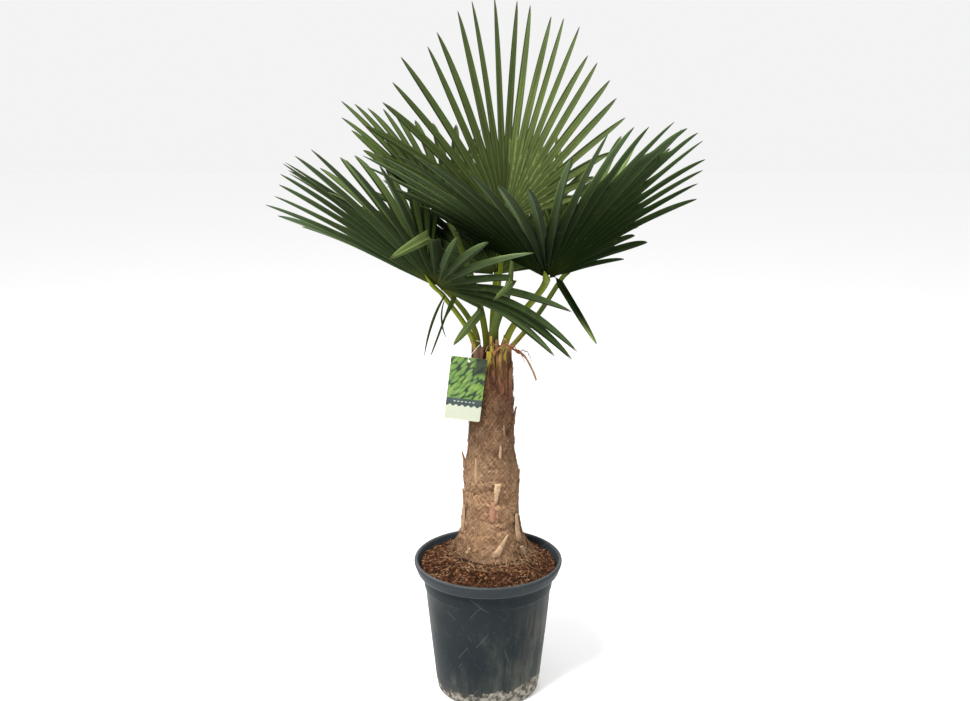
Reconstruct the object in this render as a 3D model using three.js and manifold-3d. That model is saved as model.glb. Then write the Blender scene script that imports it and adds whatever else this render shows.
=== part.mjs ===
// Windmill palm in a nursery pot, with a hanging plant label. Millimetres, +Z up.
// The origin is the middle of the pot's flat underside, and the plant's front is -Y.

import * as THREE from 'three';
import * as BufferGeometryUtils from 'three/addons/utils/BufferGeometryUtils.js';
import Module from 'manifold-3d';

const wasm = await Module();
wasm.setup();

// ---------- driving dimensions ----------

const CLEAR = 0.3; // gap between pieces that rest on each other
const deg = THREE.MathUtils.degToRad;
const UP = new THREE.Vector3(0, 0, 1);

const POT = {
  height: 348,
  baseRadius: 130,
  shoulderRadius: 161,
  shoulderHeight: 312,
  lipRadius: 184,
  lipHeight: 32,
  wall: 4,
  floor: 8,
  sides: 40,
};

const SOIL = {
  wallHeight: 334, // where the mix meets the pot's wall
  crownHeight: 349, // flat ground that the trunk stands on
  crownRadius: 104,
};

const TRUNK = {
  x: 8,
  y: 40,
  foot: SOIL.crownHeight + CLEAR,
  top: 866,
  sides: 20,
  // height above the soil and radius there
  girth: [
    [0, 91], [26, 84], [58, 77], [105, 70], [152, 66.5], [218, 65.5],
    [268, 59], [322, 54.5], [390, 51.5], [450, 50], [516.7, 47],
  ],
};

// Old leaf bases on the trunk's front: headings and heights of foot and tip, half widths, stand-out.
const FRONT_BASES = [
  { turn: [236, 233], above: [192, 268], half: [8, 5], stand: 7 },
  { turn: [279, 293], above: [152, 200], half: [11, 3], stand: 8.5 },
  { turn: [272, 273], above: [100, 154], half: [9.5, 8], stand: 5 },
  { turn: [199, 203], above: [56, 132], half: [12, 5], stand: 8 },
  { turn: [331, 326], above: [40, 114], half: [14.5, 6], stand: 8 },
  { turn: [275, 300], above: [14, 70], half: [16, 3], stand: 7.5 },
  { turn: [338, 322], above: [5, 36], half: [12, 7], stand: 14 },
  { turn: [225, 232], above: [14, 36], half: [9.5, 5], stand: 6 },
  { turn: [291, 291], above: [262, 298], half: [7.5, 5], stand: 6 },
];
// More of them follow each other up the trunk's back.
const BACK_BASES = { count: 12, first: 24, rise: 35, length: 62, half: [11, 4.5], stand: 8.5 };

const LEAFLET = {
  hubRadius: 10,
  thickness: 6,
  pleat: 3.5,
  halfWidth: 9.5,
};

// Fans: hub, heading and rise of the middle leaflet, roll about it, reach and droop. Then for each
// half, right and left as seen when looking out along the middle leaflet: how far it folds up,
// spreads and shortens, its number of leaflets, how much shorter the outermost are and the share of
// the reach where they part. Some leaflets hang, with the tip sunk by so much, some are broken or
// bent over and end early, and some ribs hold the leaflets together only so far out.
const FRONDS = [
  {
    name: 'centre', hub: [36, 100, 1174], heading: 98, rise: 90, roll: 36, reach: 562, droop: 0.05,
    right: { fold: 0, spread: 82, short: 0.35, leaflets: 13, trim: 1, split: 0.27 },
    left: { fold: 5, spread: 82, short: 0.35, leaflets: 12, trim: 1, split: 0.27 },
    foot: { radius: 13, heading: 35 }, rate: 0.35,
    cut: { 12: 552, 14: 550, 17: 505 },
  },
  {
    name: 'right', hub: [127, -205, 1093], heading: -100, rise: 33, roll: 4, reach: 550, droop: 0.12,
    right: { fold: 32, spread: 88, short: 0.42, leaflets: 11, trim: 1, split: 0.38 },
    left: { fold: 40, spread: 142, short: 0.38, leaflets: 17, trim: 0.9, split: 0.3 },
    foot: { radius: 36, heading: -45, lean: 0.1 }, rate: 0.22,
    cut: { 23: 450, 24: 270, 27: 60 },
    torn: {
      14: 240, 15: 260, 16: 270, 17: 350, 18: 370, 19: 290, 20: 230, 21: 240, 22: 230, 23: 220,
      26: 90, 27: 30, 28: 30,
    },
  },
  {
    name: 'left', hub: [-116, -120, 1057], heading: 236, rise: 45, roll: -2, reach: 515, droop: 0.08,
    right: { fold: 8, spread: 88, short: 0.3, lift: 0.5, leaflets: 9, trim: 0, split: 0.34 },
    left: { fold: 0, spread: 132, short: 0.55, leaflets: 13, trim: 1, split: 0.16 },
    foot: { radius: 36, heading: 205, lean: 0.14 }, rate: 0.4,
    sunk: { 16: 20, 17: 80, 18: 75, 19: 55 },
    cut: {
      0: 485, 1: 495, 2: 490, 3: 445, 4: 435, 5: 445, 6: 465, 7: 485, 11: 245, 12: 300, 13: 360, 15: 290,
      20: 115, 21: 60,
    },
    torn: { 21: 50, 22: 40 },
  },
  {
    name: 'up_left', hub: [-89, 150, 1162], heading: 112, rise: 38, roll: 12, reach: 460, droop: 0.08,
    right: { fold: 10, spread: 72, short: 0.25, leaflets: 10, trim: 1, split: 0.38 },
    left: { fold: 20, spread: 60, short: 0.42, leaflets: 8, trim: 0.6, split: 0.38 },
    foot: { radius: 13, heading: 150 }, rate: 0.35,
  },
  {
    name: 'back_right', hub: [193, 140, 1045], heading: 36, rise: 45, roll: 0, reach: 490, droop: 0.1,
    right: { fold: 38, spread: 90, short: 0.35, leaflets: 13, trim: 1, split: 0.38 },
    left: { fold: 30, spread: 60, short: 0.3, leaflets: 9, trim: 1, split: 0.38 },
    foot: { radius: 36, heading: 5, lean: 0.4 }, rate: 0.3,
  },
  {
    name: 'back', hub: [22, 232, 1022], heading: 84, rise: 46, roll: 0, reach: 490, droop: 0.1,
    right: { fold: 6, spread: 82, short: 0.25, leaflets: 12, trim: 1, split: 0.34 },
    left: { fold: 8, spread: 92, short: 0.25, leaflets: 13, trim: 0.6, split: 0.34 },
    foot: { radius: 36, heading: 82 }, rate: 0.45,
    cut: { 22: 320, 23: 240, 24: 190 },
  },
  {
    name: 'back_left', hub: [-150, 165, 1035], heading: 156, rise: 36, roll: 0, reach: 480, droop: 0.12,
    right: { fold: 34, spread: 56, short: 0.3, leaflets: 8, trim: 1, split: 0.38 },
    left: { fold: 30, spread: 66, short: 0.3, leaflets: 9, trim: 1, split: 0.38 },
    foot: { radius: 36, heading: 150 }, rate: 0.4,
  },
];

const PETIOLE = { footWidth: 25, footDepth: 15, hubWidth: 18, hubDepth: 11, steps: 12 };

const SPEAR = { foot: { radius: 15, heading: -80 }, tip: [58, 20, 1130], width: 24, depth: 10 };

const STALK = {
  foot: [14, 3],
  bend: [20, -14, 914],
  turn: [90, -40, 904],
  tip: [114, -34, 815],
  thickness: 7,
};

const LABEL = {
  middle: [-54, -25.5, 790.5],
  width: 86,
  height: 156,
  thickness: 1,
  tilt: 6.9,
  hole: 3,
  holeDown: 8,
};

const TIE = { thickness: 1.6, upStalk: 0.13, room: 16.8 };

// ---------- solids from sections ----------

/** A closed mesh through rings of points that run anticlockwise, seen from the last ring. */
function loft(rings) {
  const sides = rings[0].length;
  const positions = rings.flat().flatMap((p) => [p.x, p.y, p.z]);
  const index = [];
  for (let k = 0; k + 1 < rings.length; k++) {
    for (let j = 0; j < sides; j++) {
      const a = k * sides + j;
      const b = k * sides + ((j + 1) % sides);
      index.push(a, b, b + sides, a, b + sides, a + sides);
    }
  }
  const last = (rings.length - 1) * sides;
  for (let j = 1; j + 1 < sides; j++) {
    index.push(0, j + 1, j, last, last + j, last + j + 1);
  }
  return meshFrom(positions, index);
}

function meshFrom(positions, index) {
  const geometry = new THREE.BufferGeometry();
  geometry.setAttribute('position', new THREE.Float32BufferAttribute(positions, 3));
  geometry.setIndex(index);
  return geometry;
}

function toSolid(geometry) {
  const bare = geometry.clone();
  bare.deleteAttribute('normal');
  bare.deleteAttribute('uv');
  const merged = BufferGeometryUtils.mergeVertices(bare, 1e-3);
  const mesh = new wasm.Mesh({
    numProp: 3,
    vertProperties: new Float32Array(merged.attributes.position.array),
    triVerts: new Uint32Array(merged.index.array),
  });
  return new wasm.Manifold(mesh);
}

function toGeometry(solid) {
  const mesh = solid.getMesh();
  return meshFrom(Array.from(mesh.vertProperties), Array.from(mesh.triVerts));
}

/** A repeatable number from 0 to 1 for a pair of whole numbers. */
function chance(a, b) {
  return ((a * 7919 + b * 104729 + a * b * 331 + 17) % 1009) / 1009;
}

function polar(radius, heading, z) {
  return new THREE.Vector3(radius * Math.cos(deg(heading)), radius * Math.sin(deg(heading)), z);
}

// ---------- pot and soil ----------

function potGeometry() {
  const { height, baseRadius, shoulderRadius, shoulderHeight, lipRadius, lipHeight, wall, floor } = POT;
  const underLip = height - lipHeight;
  const profile = [
    [0, 0],
    [baseRadius - 7, 0],
    [baseRadius - 2, 5],
    [baseRadius - 1, 20],
    [baseRadius + 1, 24],
    [shoulderRadius - 4.5, shoulderHeight - 35],
    [shoulderRadius - 1.5, shoulderHeight - 32],
    [shoulderRadius, shoulderHeight],
    [lipRadius - 9, underLip],
    [lipRadius - 4, underLip + 10],
    [lipRadius, height - 10],
    [lipRadius - 2, height],
    [lipRadius - 6, height],
    [lipRadius - 11, height - 6],
    [shoulderRadius - wall, shoulderHeight],
    [baseRadius - wall - 2, floor],
    [0, floor],
  ];
  const points = profile.map(([r, z]) => new THREE.Vector2(r, z));
  const geometry = new THREE.LatheGeometry(points, POT.sides);
  geometry.rotateX(Math.PI / 2);
  return geometry;
}

/** The inner wall's radius at a height between the floor and the shoulder. */
function potBore(z) {
  const share = (z - POT.floor) / (POT.shoulderHeight - POT.floor);
  const low = POT.baseRadius - POT.wall - 2;
  const high = POT.shoulderRadius - POT.wall;
  return low + (high - low) * share;
}

function soilGeometry() {
  const ring = (cx, cy, radius, z) =>
    Array.from({ length: POT.sides }, (_, j) => {
      const a = (j / POT.sides) * 2 * Math.PI + Math.PI / 2;
      return new THREE.Vector3(cx + radius * Math.cos(a), cy + radius * Math.sin(a), z);
    });
  const { wallHeight, crownHeight, crownRadius } = SOIL;
  const flare = (z) => {
    const share = (z - POT.shoulderHeight) / (POT.height - 6 - POT.shoulderHeight);
    const high = POT.lipRadius - 11;
    return potBore(POT.shoulderHeight) + (high - potBore(POT.shoulderHeight)) * share;
  };
  const rise = crownHeight - wallHeight;
  return loft([
    ring(0, 0, potBore(POT.floor) - CLEAR - 0.1, POT.floor + CLEAR),
    ring(0, 0, potBore(POT.shoulderHeight) - CLEAR - 0.1, POT.shoulderHeight),
    ring(0, 0, flare(wallHeight) - CLEAR - 0.1, wallHeight),
    ring(TRUNK.x * 0.4, TRUNK.y * 0.4, 146, wallHeight + rise * 0.45),
    ring(TRUNK.x, TRUNK.y, crownRadius, crownHeight),
  ]);
}

// ---------- trunk ----------

function trunkGeometry() {
  const rings = TRUNK.girth.map(([above, radius], k) =>
    Array.from({ length: TRUNK.sides }, (_, j) => {
      const a = (j / TRUNK.sides) * 2 * Math.PI;
      const rough = k === 0 ? 0 : (chance(k, j) - 0.5) * 0.05;
      const r = radius * (1 + rough);
      return new THREE.Vector3(TRUNK.x + r * Math.cos(a), TRUNK.y + r * Math.sin(a), TRUNK.foot + above);
    })
  );
  let trunk = toSolid(loft(rings));
  for (const base of [...FRONT_BASES, ...backBases()]) {
    trunk = trunk.add(toSolid(leafBaseGeometry(base)));
  }
  return toGeometry(trunk);
}

/** Leaf bases on the back, a golden turn apart within the half that faces away. */
function backBases() {
  const { count, first, rise, length, half, stand } = BACK_BASES;
  return Array.from({ length: count }, (_, k) => {
    const heading = 10 + ((k * 137.5) % 170);
    const low = first + k * rise;
    const size = 0.75 + 0.5 * chance(k, 1);
    return {
      turn: [heading, heading + 8 * (chance(k, 2) - 0.5)],
      above: [low, low + length * size],
      half: half.map((width) => width * size),
      stand,
    };
  });
}

/** The trunk's radius at a height above its foot. */
function girthAt(above) {
  const rows = TRUNK.girth;
  const k = rows.findIndex(([h]) => h > above);
  const [h0, r0] = rows[Math.max(k - 1, 0)];
  const [h1, r1] = rows[Math.max(k, 1)];
  return r0 + ((r1 - r0) * (above - h0)) / (h1 - h0);
}

/** An old leaf base: a tapering tongue that lies on the trunk and leans out at its tip. */
function leafBaseGeometry({ turn, above, half, stand }) {
  const section = (share, out, depth) => {
    const mix = ([a, b]) => a + (b - a) * share;
    const heading = mix(turn);
    const height = mix(above);
    const middle = polar(girthAt(height) + out, heading, TRUNK.foot + height)
      .add(new THREE.Vector3(TRUNK.x, TRUNK.y, 0));
    const corners = [[-1, -depth], [1, -depth], [0.7, 0], [-0.7, 0]];
    return corners.map(([s, o]) =>
      middle.clone().add(polar(-s * mix(half), heading + 90, 0)).add(polar(o, heading, 0))
    );
  };
  return loft([
    section(0, 1.5, 9),
    section(0.5, 1.5 + stand * 0.4, 10),
    section(1, stand, 5),
  ]);
}

// ---------- fronds ----------

/** Directions of a fan: its middle leaflet, the way to its left side, and its upper side. */
function fanFrame({ heading, rise, roll }) {
  const out = polar(Math.cos(deg(rise)), heading, Math.sin(deg(rise)));
  const level = polar(1, heading + 90, 0);
  const upper = out.clone().cross(level);
  const left = level.multiplyScalar(Math.cos(deg(roll))).addScaledVector(upper, Math.sin(deg(roll)));
  return { out, left, upper: out.clone().cross(left) };
}

/** Direction and upper normal of a leaflet at an angle (radians) from the middle one, left positive. */
function leafletFrame(frond, frame, angle) {
  const half = angle < 0 ? frond.right : frond.left;
  const fold = deg(half.fold);
  const lift = (half.lift ?? 0) * Math.max(0, Math.abs(angle) - deg(55)) ** 2;
  const along = frame.out.clone().multiplyScalar(Math.cos(angle))
    .addScaledVector(frame.left, Math.sin(angle) * Math.cos(fold))
    .addScaledVector(frame.upper, Math.abs(Math.sin(angle)) * Math.sin(fold) + lift)
    .normalize();
  const side = Math.sin(angle) / Math.sqrt(Math.sin(angle) ** 2 + 0.05);
  const normal = frame.upper.clone().multiplyScalar(Math.cos(fold))
    .addScaledVector(frame.left, -side * Math.sin(fold));
  normal.addScaledVector(along, -normal.dot(along)).normalize();
  return { along, normal, across: normal.clone().cross(along) };
}

/** Angles of the ribs between leaflets, from the right margin to the left one, not quite even. */
function seamAngles({ left, right }, seed) {
  const count = right.leaflets + left.leaflets;
  return Array.from({ length: count + 1 }, (_, j) => {
    const half = j <= right.leaflets ? right : left;
    const spacing = half.spread / half.leaflets;
    const uneven = j > 0 && j < count ? spacing * 0.4 * (chance(seed + 71, j) - 0.5) : 0;
    return spacing * (j - right.leaflets) + uneven;
  });
}

/** Angles of the leaflets' midribs. */
function ribAngles(frond, seed) {
  const seams = seamAngles(frond, seed);
  return seams.slice(1).map((angle, i) => (seams[i] + angle) / 2);
}

/** How far each leaflet reaches from the hub. */
function leafletReaches(frond, seed) {
  const outermost = [0.55, 0.72, 0.88];
  const angles = ribAngles(frond, seed);
  return angles.map((degrees, i) => {
    const half = degrees < 0 ? frond.right : frond.left;
    const edge = 1 - half.trim * (1 - (outermost[Math.min(i, angles.length - 1 - i)] ?? 1));
    const uneven = 0.96 + 0.07 * chance(seed + 3, i);
    const reach = frond.reach * (1 - (half.short * (1 - Math.cos(deg(degrees)))) / 2) * edge * uneven;
    return frond.cut?.[i] ?? reach;
  });
}

/** The closed blade: pleated and whole near the hub, then one tapering leaflet for each rib. */
function bladeGeometry(frond, seed, reaches, grow = 0) {
  const frame = fanFrame(frond);
  const hub = new THREE.Vector3(...frond.hub);
  const count = reaches.length;
  const ribs = ribAngles(frond, seed);
  const positions = [];
  const index = [];
  const t = LEAFLET.thickness / 2 + grow;

  const place = (p) => positions.push(p.x, p.y, p.z) / 3 - 1;
  const at = (degrees, radius, lift, aside = 0, sunk = 0) => {
    const { along, normal, across } = leafletFrame(frond, frame, deg(degrees));
    const sag = frond.droop * frond.reach * (radius / frond.reach) ** 2;
    return hub.clone().addScaledVector(along, radius).addScaledVector(normal, lift)
      .addScaledVector(across, aside).addScaledVector(UP, -sag - sunk);
  };

  // ribs between leaflets: top and bottom, at the hub and where the leaflets part
  const seams = seamAngles(frond, seed).map((degrees, j) => {
    const near = Math.min(reaches[Math.max(j - 1, 0)], reaches[Math.min(j, count - 1)]);
    const share = j <= frond.right.leaflets ? frond.right.split : frond.left.split;
    const whole = Math.min(frond.reach * (share + 0.08 * chance(seed, j)), near * 0.8);
    const split = frond.torn?.[j] ?? whole;
    return {
      split,
      hubTop: place(at(degrees, LEAFLET.hubRadius, t)),
      hubBottom: place(at(degrees, LEAFLET.hubRadius, -t)),
      top: place(at(degrees, split, LEAFLET.pleat + t)),
      bottom: place(at(degrees, split, LEAFLET.pleat - t)),
    };
  });

  const tri = (a, b, c) => index.push(a, b, c);
  for (let i = 0; i < count; i++) {
    const degrees = ribs[i];
    const a = seams[i];
    const b = seams[i + 1];
    const split = (a.split + b.split) / 2;
    const ribTop = place(at(degrees, split, -LEAFLET.pleat + t));
    const ribBottom = place(at(degrees, split, -LEAFLET.pleat - t));

    tri(a.hubTop, a.top, ribTop);
    tri(a.hubTop, ribTop, b.hubTop);
    tri(b.hubTop, ribTop, b.top);
    tri(a.hubBottom, ribBottom, a.bottom);
    tri(a.hubBottom, b.hubBottom, ribBottom);
    tri(b.hubBottom, b.bottom, ribBottom);
    tri(a.hubTop, b.hubTop, b.hubBottom);
    tri(a.hubTop, b.hubBottom, a.hubBottom);

    // the free leaflet: two stations and a tip
    const free = reaches[i] - split;
    const hang = frond.sunk?.[i] ?? 0;
    const station = (share, width) => {
      const radius = split + free * share;
      const sunk = hang * share ** 2;
      return {
        low: place(at(degrees, radius, LEAFLET.pleat * 0.6, -width - grow, sunk)),
        high: place(at(degrees, radius, LEAFLET.pleat * 0.6, width + grow, sunk)),
        top: place(at(degrees, radius, t - LEAFLET.pleat * 0.6, 0, sunk)),
        bottom: place(at(degrees, radius, -t - LEAFLET.pleat * 0.6, 0, sunk)),
      };
    };
    const middle = station(0.4, LEAFLET.halfWidth);
    const outer = station(0.75, LEAFLET.halfWidth * 0.68);
    const tip = place(at(degrees, reaches[i] + grow * 4, 0, 0, hang));

    tri(a.top, middle.low, middle.top);
    tri(a.top, middle.top, ribTop);
    tri(ribTop, middle.top, middle.high);
    tri(ribTop, middle.high, b.top);
    tri(a.bottom, middle.bottom, middle.low);
    tri(a.bottom, ribBottom, middle.bottom);
    tri(ribBottom, middle.high, middle.bottom);
    tri(ribBottom, b.bottom, middle.high);
    tri(a.top, a.bottom, middle.low);
    tri(b.top, middle.high, b.bottom);

    tri(middle.low, outer.low, outer.top);
    tri(middle.low, outer.top, middle.top);
    tri(middle.top, outer.top, outer.high);
    tri(middle.top, outer.high, middle.high);
    tri(middle.low, outer.bottom, outer.low);
    tri(middle.low, middle.bottom, outer.bottom);
    tri(middle.bottom, outer.high, outer.bottom);
    tri(middle.bottom, middle.high, outer.high);

    tri(outer.low, tip, outer.top);
    tri(outer.top, tip, outer.high);
    tri(outer.low, outer.bottom, tip);
    tri(outer.bottom, outer.high, tip);
  }

  // the blade's two free margins
  const first = seams[0];
  const last = seams[count];
  tri(first.hubTop, first.hubBottom, first.bottom);
  tri(first.hubTop, first.bottom, first.top);
  tri(last.hubTop, last.top, last.bottom);
  tri(last.hubTop, last.bottom, last.hubBottom);
  return meshFrom(positions, index);
}

/** Shortens each leaflet that would touch what is placed already. */
function clearReaches(frond, seed, placed) {
  const reaches = leafletReaches(frond, seed);
  const frame = fanFrame(frond);
  const hub = new THREE.Vector3(...frond.hub);
  const ribs = ribAngles(frond, seed);
  const margin = 0.7;
  for (let round = 0; round < 12; round++) {
    const probe = toSolid(bladeGeometry(frond, seed, reaches, margin));
    const hits = placed.flatMap((solid) => {
      const common = probe.intersect(solid);
      return common.isEmpty() ? [] : common.decompose();
    });
    if (hits.length === 0) {
      return reaches;
    }
    for (const hit of hits) {
      const box = hit.boundingBox();
      const middle = new THREE.Vector3(...box.min).add(new THREE.Vector3(...box.max)).divideScalar(2);
      const offset = middle.sub(hub);
      const distance = offset.length();
      offset.z += frond.droop * frond.reach * (distance / frond.reach) ** 2;
      offset.normalize();
      let nearest = 0;
      let best = -2;
      reaches.forEach((_, i) => {
        const { along } = leafletFrame(frond, frame, deg(ribs[i]));
        if (along.dot(offset) > best) {
          best = along.dot(offset);
          nearest = i;
        }
      });
      reaches[nearest] = Math.min(reaches[nearest] - 12, distance - 14);
      if (reaches[nearest] < frond.reach * 0.3) {
        const where = `${Math.round(distance)} mm from its hub`;
        throw new Error(`${frond.name}: leaflet ${nearest} is blocked ${where}`);
      }
    }
  }
  throw new Error(`${frond.name}: leaflets still touch`);
}

/** The middle line of a leaf stalk, from its foot on the trunk's top to its fan's hub. */
function petioleCurve(frond) {
  const frame = fanFrame(frond);
  const hub = new THREE.Vector3(...frond.hub);
  const axis = new THREE.Vector3(TRUNK.x, TRUNK.y, 0);
  const foot = polar(frond.foot.radius, frond.foot.heading, TRUNK.top + CLEAR).add(axis);
  const end = hub.clone().addScaledVector(frame.out, LEAFLET.hubRadius - 2 * CLEAR);
  const span = foot.distanceTo(end);
  const outward = hub.clone().sub(foot).setZ(0).normalize();
  return new THREE.CubicBezierCurve3(
    foot,
    foot.clone().addScaledVector(UP, span * 0.3).addScaledVector(outward, span * (frond.foot.lean ?? 0)),
    hub.clone().addScaledVector(frame.out, -span * frond.rate),
    end
  );
}

function petioleGeometry(frond) {
  const frame = fanFrame(frond);
  const curve = petioleCurve(frond);
  const sideways = polar(1, frond.foot.heading - 90, 0);
  if (sideways.dot(frame.left) < 0) {
    sideways.negate();
  }
  return strut(curve, PETIOLE.steps, (share) => {
    const side = sideways.clone().lerp(frame.left, share);
    const nose = share > 0.99 ? 0.15 : 1;
    return {
      side,
      width: THREE.MathUtils.lerp(PETIOLE.footWidth, PETIOLE.hubWidth, share) * nose,
      depth: THREE.MathUtils.lerp(PETIOLE.footDepth, PETIOLE.hubDepth, share) * (0.5 + nose / 2),
    };
  }, UP);
}

/** A bar of eight sides along a curve, whose size and sideways direction follow a rule. */
function strut(curve, steps, rule, firstNormal) {
  const rings = [];
  for (let k = 0; k <= steps; k++) {
    const share = k / steps;
    const { side, width, depth } = rule(share);
    const ahead = k === 0 && firstNormal ? firstNormal.clone() : curve.getTangent(share);
    const across = side.clone().addScaledVector(ahead, -side.dot(ahead)).normalize();
    const over = ahead.clone().cross(across);
    const middle = curve.getPoint(share);
    rings.push(Array.from({ length: 8 }, (_, j) => {
      const a = ((j + 0.5) / 8) * 2 * Math.PI;
      const reach = 1 / Math.cos(Math.PI / 8);
      return middle.clone()
        .addScaledVector(across, (width / 2) * Math.cos(a) * reach)
        .addScaledVector(over, (depth / 2) * Math.sin(a) * reach);
    }));
  }
  return loft(rings);
}

function spearGeometry() {
  const axis = new THREE.Vector3(TRUNK.x, TRUNK.y, 0);
  const foot = polar(SPEAR.foot.radius, SPEAR.foot.heading, TRUNK.top + CLEAR).add(axis);
  const tip = new THREE.Vector3(...SPEAR.tip);
  const curve = new THREE.CubicBezierCurve3(
    foot,
    foot.clone().addScaledVector(UP, 120),
    tip.clone().addScaledVector(UP, -150),
    tip
  );
  return strut(curve, 9, (share) => ({
    side: new THREE.Vector3(1, 0, 0),
    width: SPEAR.width * (share < 0.6 ? 0.75 + share * 0.4 : 0.99 - (share - 0.6) * 2.1),
    depth: SPEAR.depth * (1 - share * 0.6),
  }), UP);
}

/** A withered leaf stalk that leans out over the trunk's edge and hangs down. */
function stalkGeometry() {
  const foot = new THREE.Vector3(...STALK.foot, TRUNK.top + CLEAR);
  const curve = new THREE.CubicBezierCurve3(
    foot,
    new THREE.Vector3(...STALK.bend),
    new THREE.Vector3(...STALK.turn),
    new THREE.Vector3(...STALK.tip)
  );
  return strut(curve, 9, (share) => ({
    side: new THREE.Vector3(0, 1, 0),
    width: STALK.thickness * (1 - share * 0.3),
    depth: STALK.thickness * (0.8 - share * 0.3),
  }), UP);
}

// ---------- label ----------

/** Turns the label's own upright plane to the way it hangs. */
function labelPlace() {
  const turn = new THREE.Matrix4().makeRotationY(deg(LABEL.tilt));
  return turn.setPosition(...LABEL.middle);
}

function labelHole() {
  return new THREE.Vector3(0, 0, LABEL.height / 2 - LABEL.holeDown).applyMatrix4(labelPlace());
}

function labelGeometry() {
  const outline = new THREE.Shape();
  outline.moveTo(-LABEL.width / 2, -LABEL.height / 2);
  outline.lineTo(LABEL.width / 2, -LABEL.height / 2);
  outline.lineTo(LABEL.width / 2, LABEL.height / 2);
  outline.lineTo(-LABEL.width / 2, LABEL.height / 2);
  outline.closePath();
  const hole = new THREE.Path();
  hole.absarc(0, LABEL.height / 2 - LABEL.holeDown, LABEL.hole, 0, 2 * Math.PI, true);
  outline.holes.push(hole);
  const card = new THREE.ExtrudeGeometry(outline, {
    depth: LABEL.thickness,
    bevelEnabled: false,
    curveSegments: 10,
  });
  card.rotateX(Math.PI / 2);
  card.translate(0, LABEL.thickness / 2, 0);
  return card.applyMatrix4(labelPlace());
}

/** A closed loop through the label's hole and round the left leaf stalk. */
function tieGeometry() {
  const stalk = petioleCurve(FRONDS.find((frond) => frond.name === 'left'));
  const held = stalk.getPoint(TIE.upStalk);
  const hole = labelHole().add(new THREE.Vector3(0, 0, LABEL.hole - TIE.thickness / 2 - CLEAR));
  const toStalk = held.clone().sub(hole).setZ(0).normalize();
  const leftward = UP.clone().cross(toStalk);
  const beside = (x, y, z) => hole.clone().add(new THREE.Vector3(x, y, z));
  const around = (ahead, aside, up) =>
    held.clone().addScaledVector(toStalk, ahead).addScaledVector(leftward, aside).addScaledVector(UP, up);
  const path = new THREE.CatmullRomCurve3([
    beside(0, -2.5, 0.3),
    beside(-2, -5, 9),
    around(-14, TIE.room - 3, -5),
    around(0, TIE.room, 0),
    around(TIE.room - 4, 6, 2),
    around(TIE.room - 4, -6, 2),
    around(0, -TIE.room, 0),
    around(-14, 4 - TIE.room, -6),
    beside(3, 5, 8),
    beside(0, 2.5, 0.3),
  ], true, 'centripetal');
  return new THREE.TubeGeometry(path, 48, TIE.thickness / 2, 6, true);
}

// ---------- assembly ----------

const plant = new THREE.Group();

const FINISH = {
  pot: { color: 0x2b3034, roughness: 0.55 },
  soil: { color: 0x4a2c1a, roughness: 0.95 },
  trunk: { color: 0x7a5b41, roughness: 0.95 },
  petiole: { color: 0x8a9a2e, roughness: 0.5 },
  blade: { color: 0x2f4a22, roughness: 0.5 },
  stalk: { color: 0xa5662f, roughness: 0.9 },
  label: { color: 0xc9d3a8, roughness: 0.4 },
  tie: { color: 0xd8d4c4, roughness: 0.6 },
};

function addPiece(name, geometry, finish) {
  const material = new THREE.MeshStandardMaterial({ ...FINISH[finish], metalness: 0 });
  const mesh = new THREE.Mesh(geometry, material);
  mesh.name = name;
  plant.add(mesh);
}

addPiece('pot', potGeometry(), 'pot');
addPiece('soil', soilGeometry(), 'soil');
addPiece('trunk', trunkGeometry(), 'trunk');

const placed = [];
for (const frond of FRONDS) {
  const stalk = petioleGeometry(frond);
  addPiece(`petiole_${frond.name}`, stalk, 'petiole');
  placed.push(toSolid(stalk));
}
const spear = spearGeometry();
addPiece('spear_leaf', spear, 'blade');
placed.push(toSolid(spear));
addPiece('dry_stalk', stalkGeometry(), 'stalk');
addPiece('label_card', labelGeometry(), 'label');
addPiece('label_tie', tieGeometry(), 'tie');

FRONDS.forEach((frond, seed) => {
  const reaches = clearReaches(frond, seed, placed);
  const blade = bladeGeometry(frond, seed, reaches);
  addPiece(`frond_${frond.name}`, blade, 'blade');
  placed.push(toSolid(blade));
});

export default plant;
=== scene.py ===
"""Windmill palm in a nursery pot, with a hanging plant label.

Each operator makes one piece of the plant, or a group of like pieces, around the packed frame.
Lengths are in metres and angles in degrees, except in the panel, where angles follow the unit.
"""

import math

import bmesh
import bpy
import numpy as np
from bpy.props import FloatProperty, FloatVectorProperty, IntProperty, PointerProperty
from mathutils import Matrix, Vector


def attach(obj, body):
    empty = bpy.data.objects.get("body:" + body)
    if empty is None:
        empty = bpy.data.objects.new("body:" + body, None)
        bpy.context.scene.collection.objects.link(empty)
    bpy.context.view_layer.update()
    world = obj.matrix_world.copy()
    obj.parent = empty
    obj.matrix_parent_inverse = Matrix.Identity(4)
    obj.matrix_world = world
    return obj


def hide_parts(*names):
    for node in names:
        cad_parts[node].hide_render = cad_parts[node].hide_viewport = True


bl_info = {
    "name": "Potted Windmill Palm",
    "version": (1, 0, 0),
    "blender": (4, 5, 0),
    "location": "View3D > Sidebar > Palm",
    "description": "Builds a potted windmill palm with pleated fans, a fibrous trunk and a label",
    "category": "Add Mesh",
}

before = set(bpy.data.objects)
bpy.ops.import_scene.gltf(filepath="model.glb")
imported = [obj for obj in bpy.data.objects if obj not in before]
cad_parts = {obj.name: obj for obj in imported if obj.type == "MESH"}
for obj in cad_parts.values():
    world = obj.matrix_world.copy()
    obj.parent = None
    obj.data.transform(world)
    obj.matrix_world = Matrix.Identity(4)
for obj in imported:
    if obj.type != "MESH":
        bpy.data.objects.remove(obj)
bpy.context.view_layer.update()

MM = 0.001
CLEAR = 0.0003
UP = np.array((0.0, 0.0, 1.0))

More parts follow.
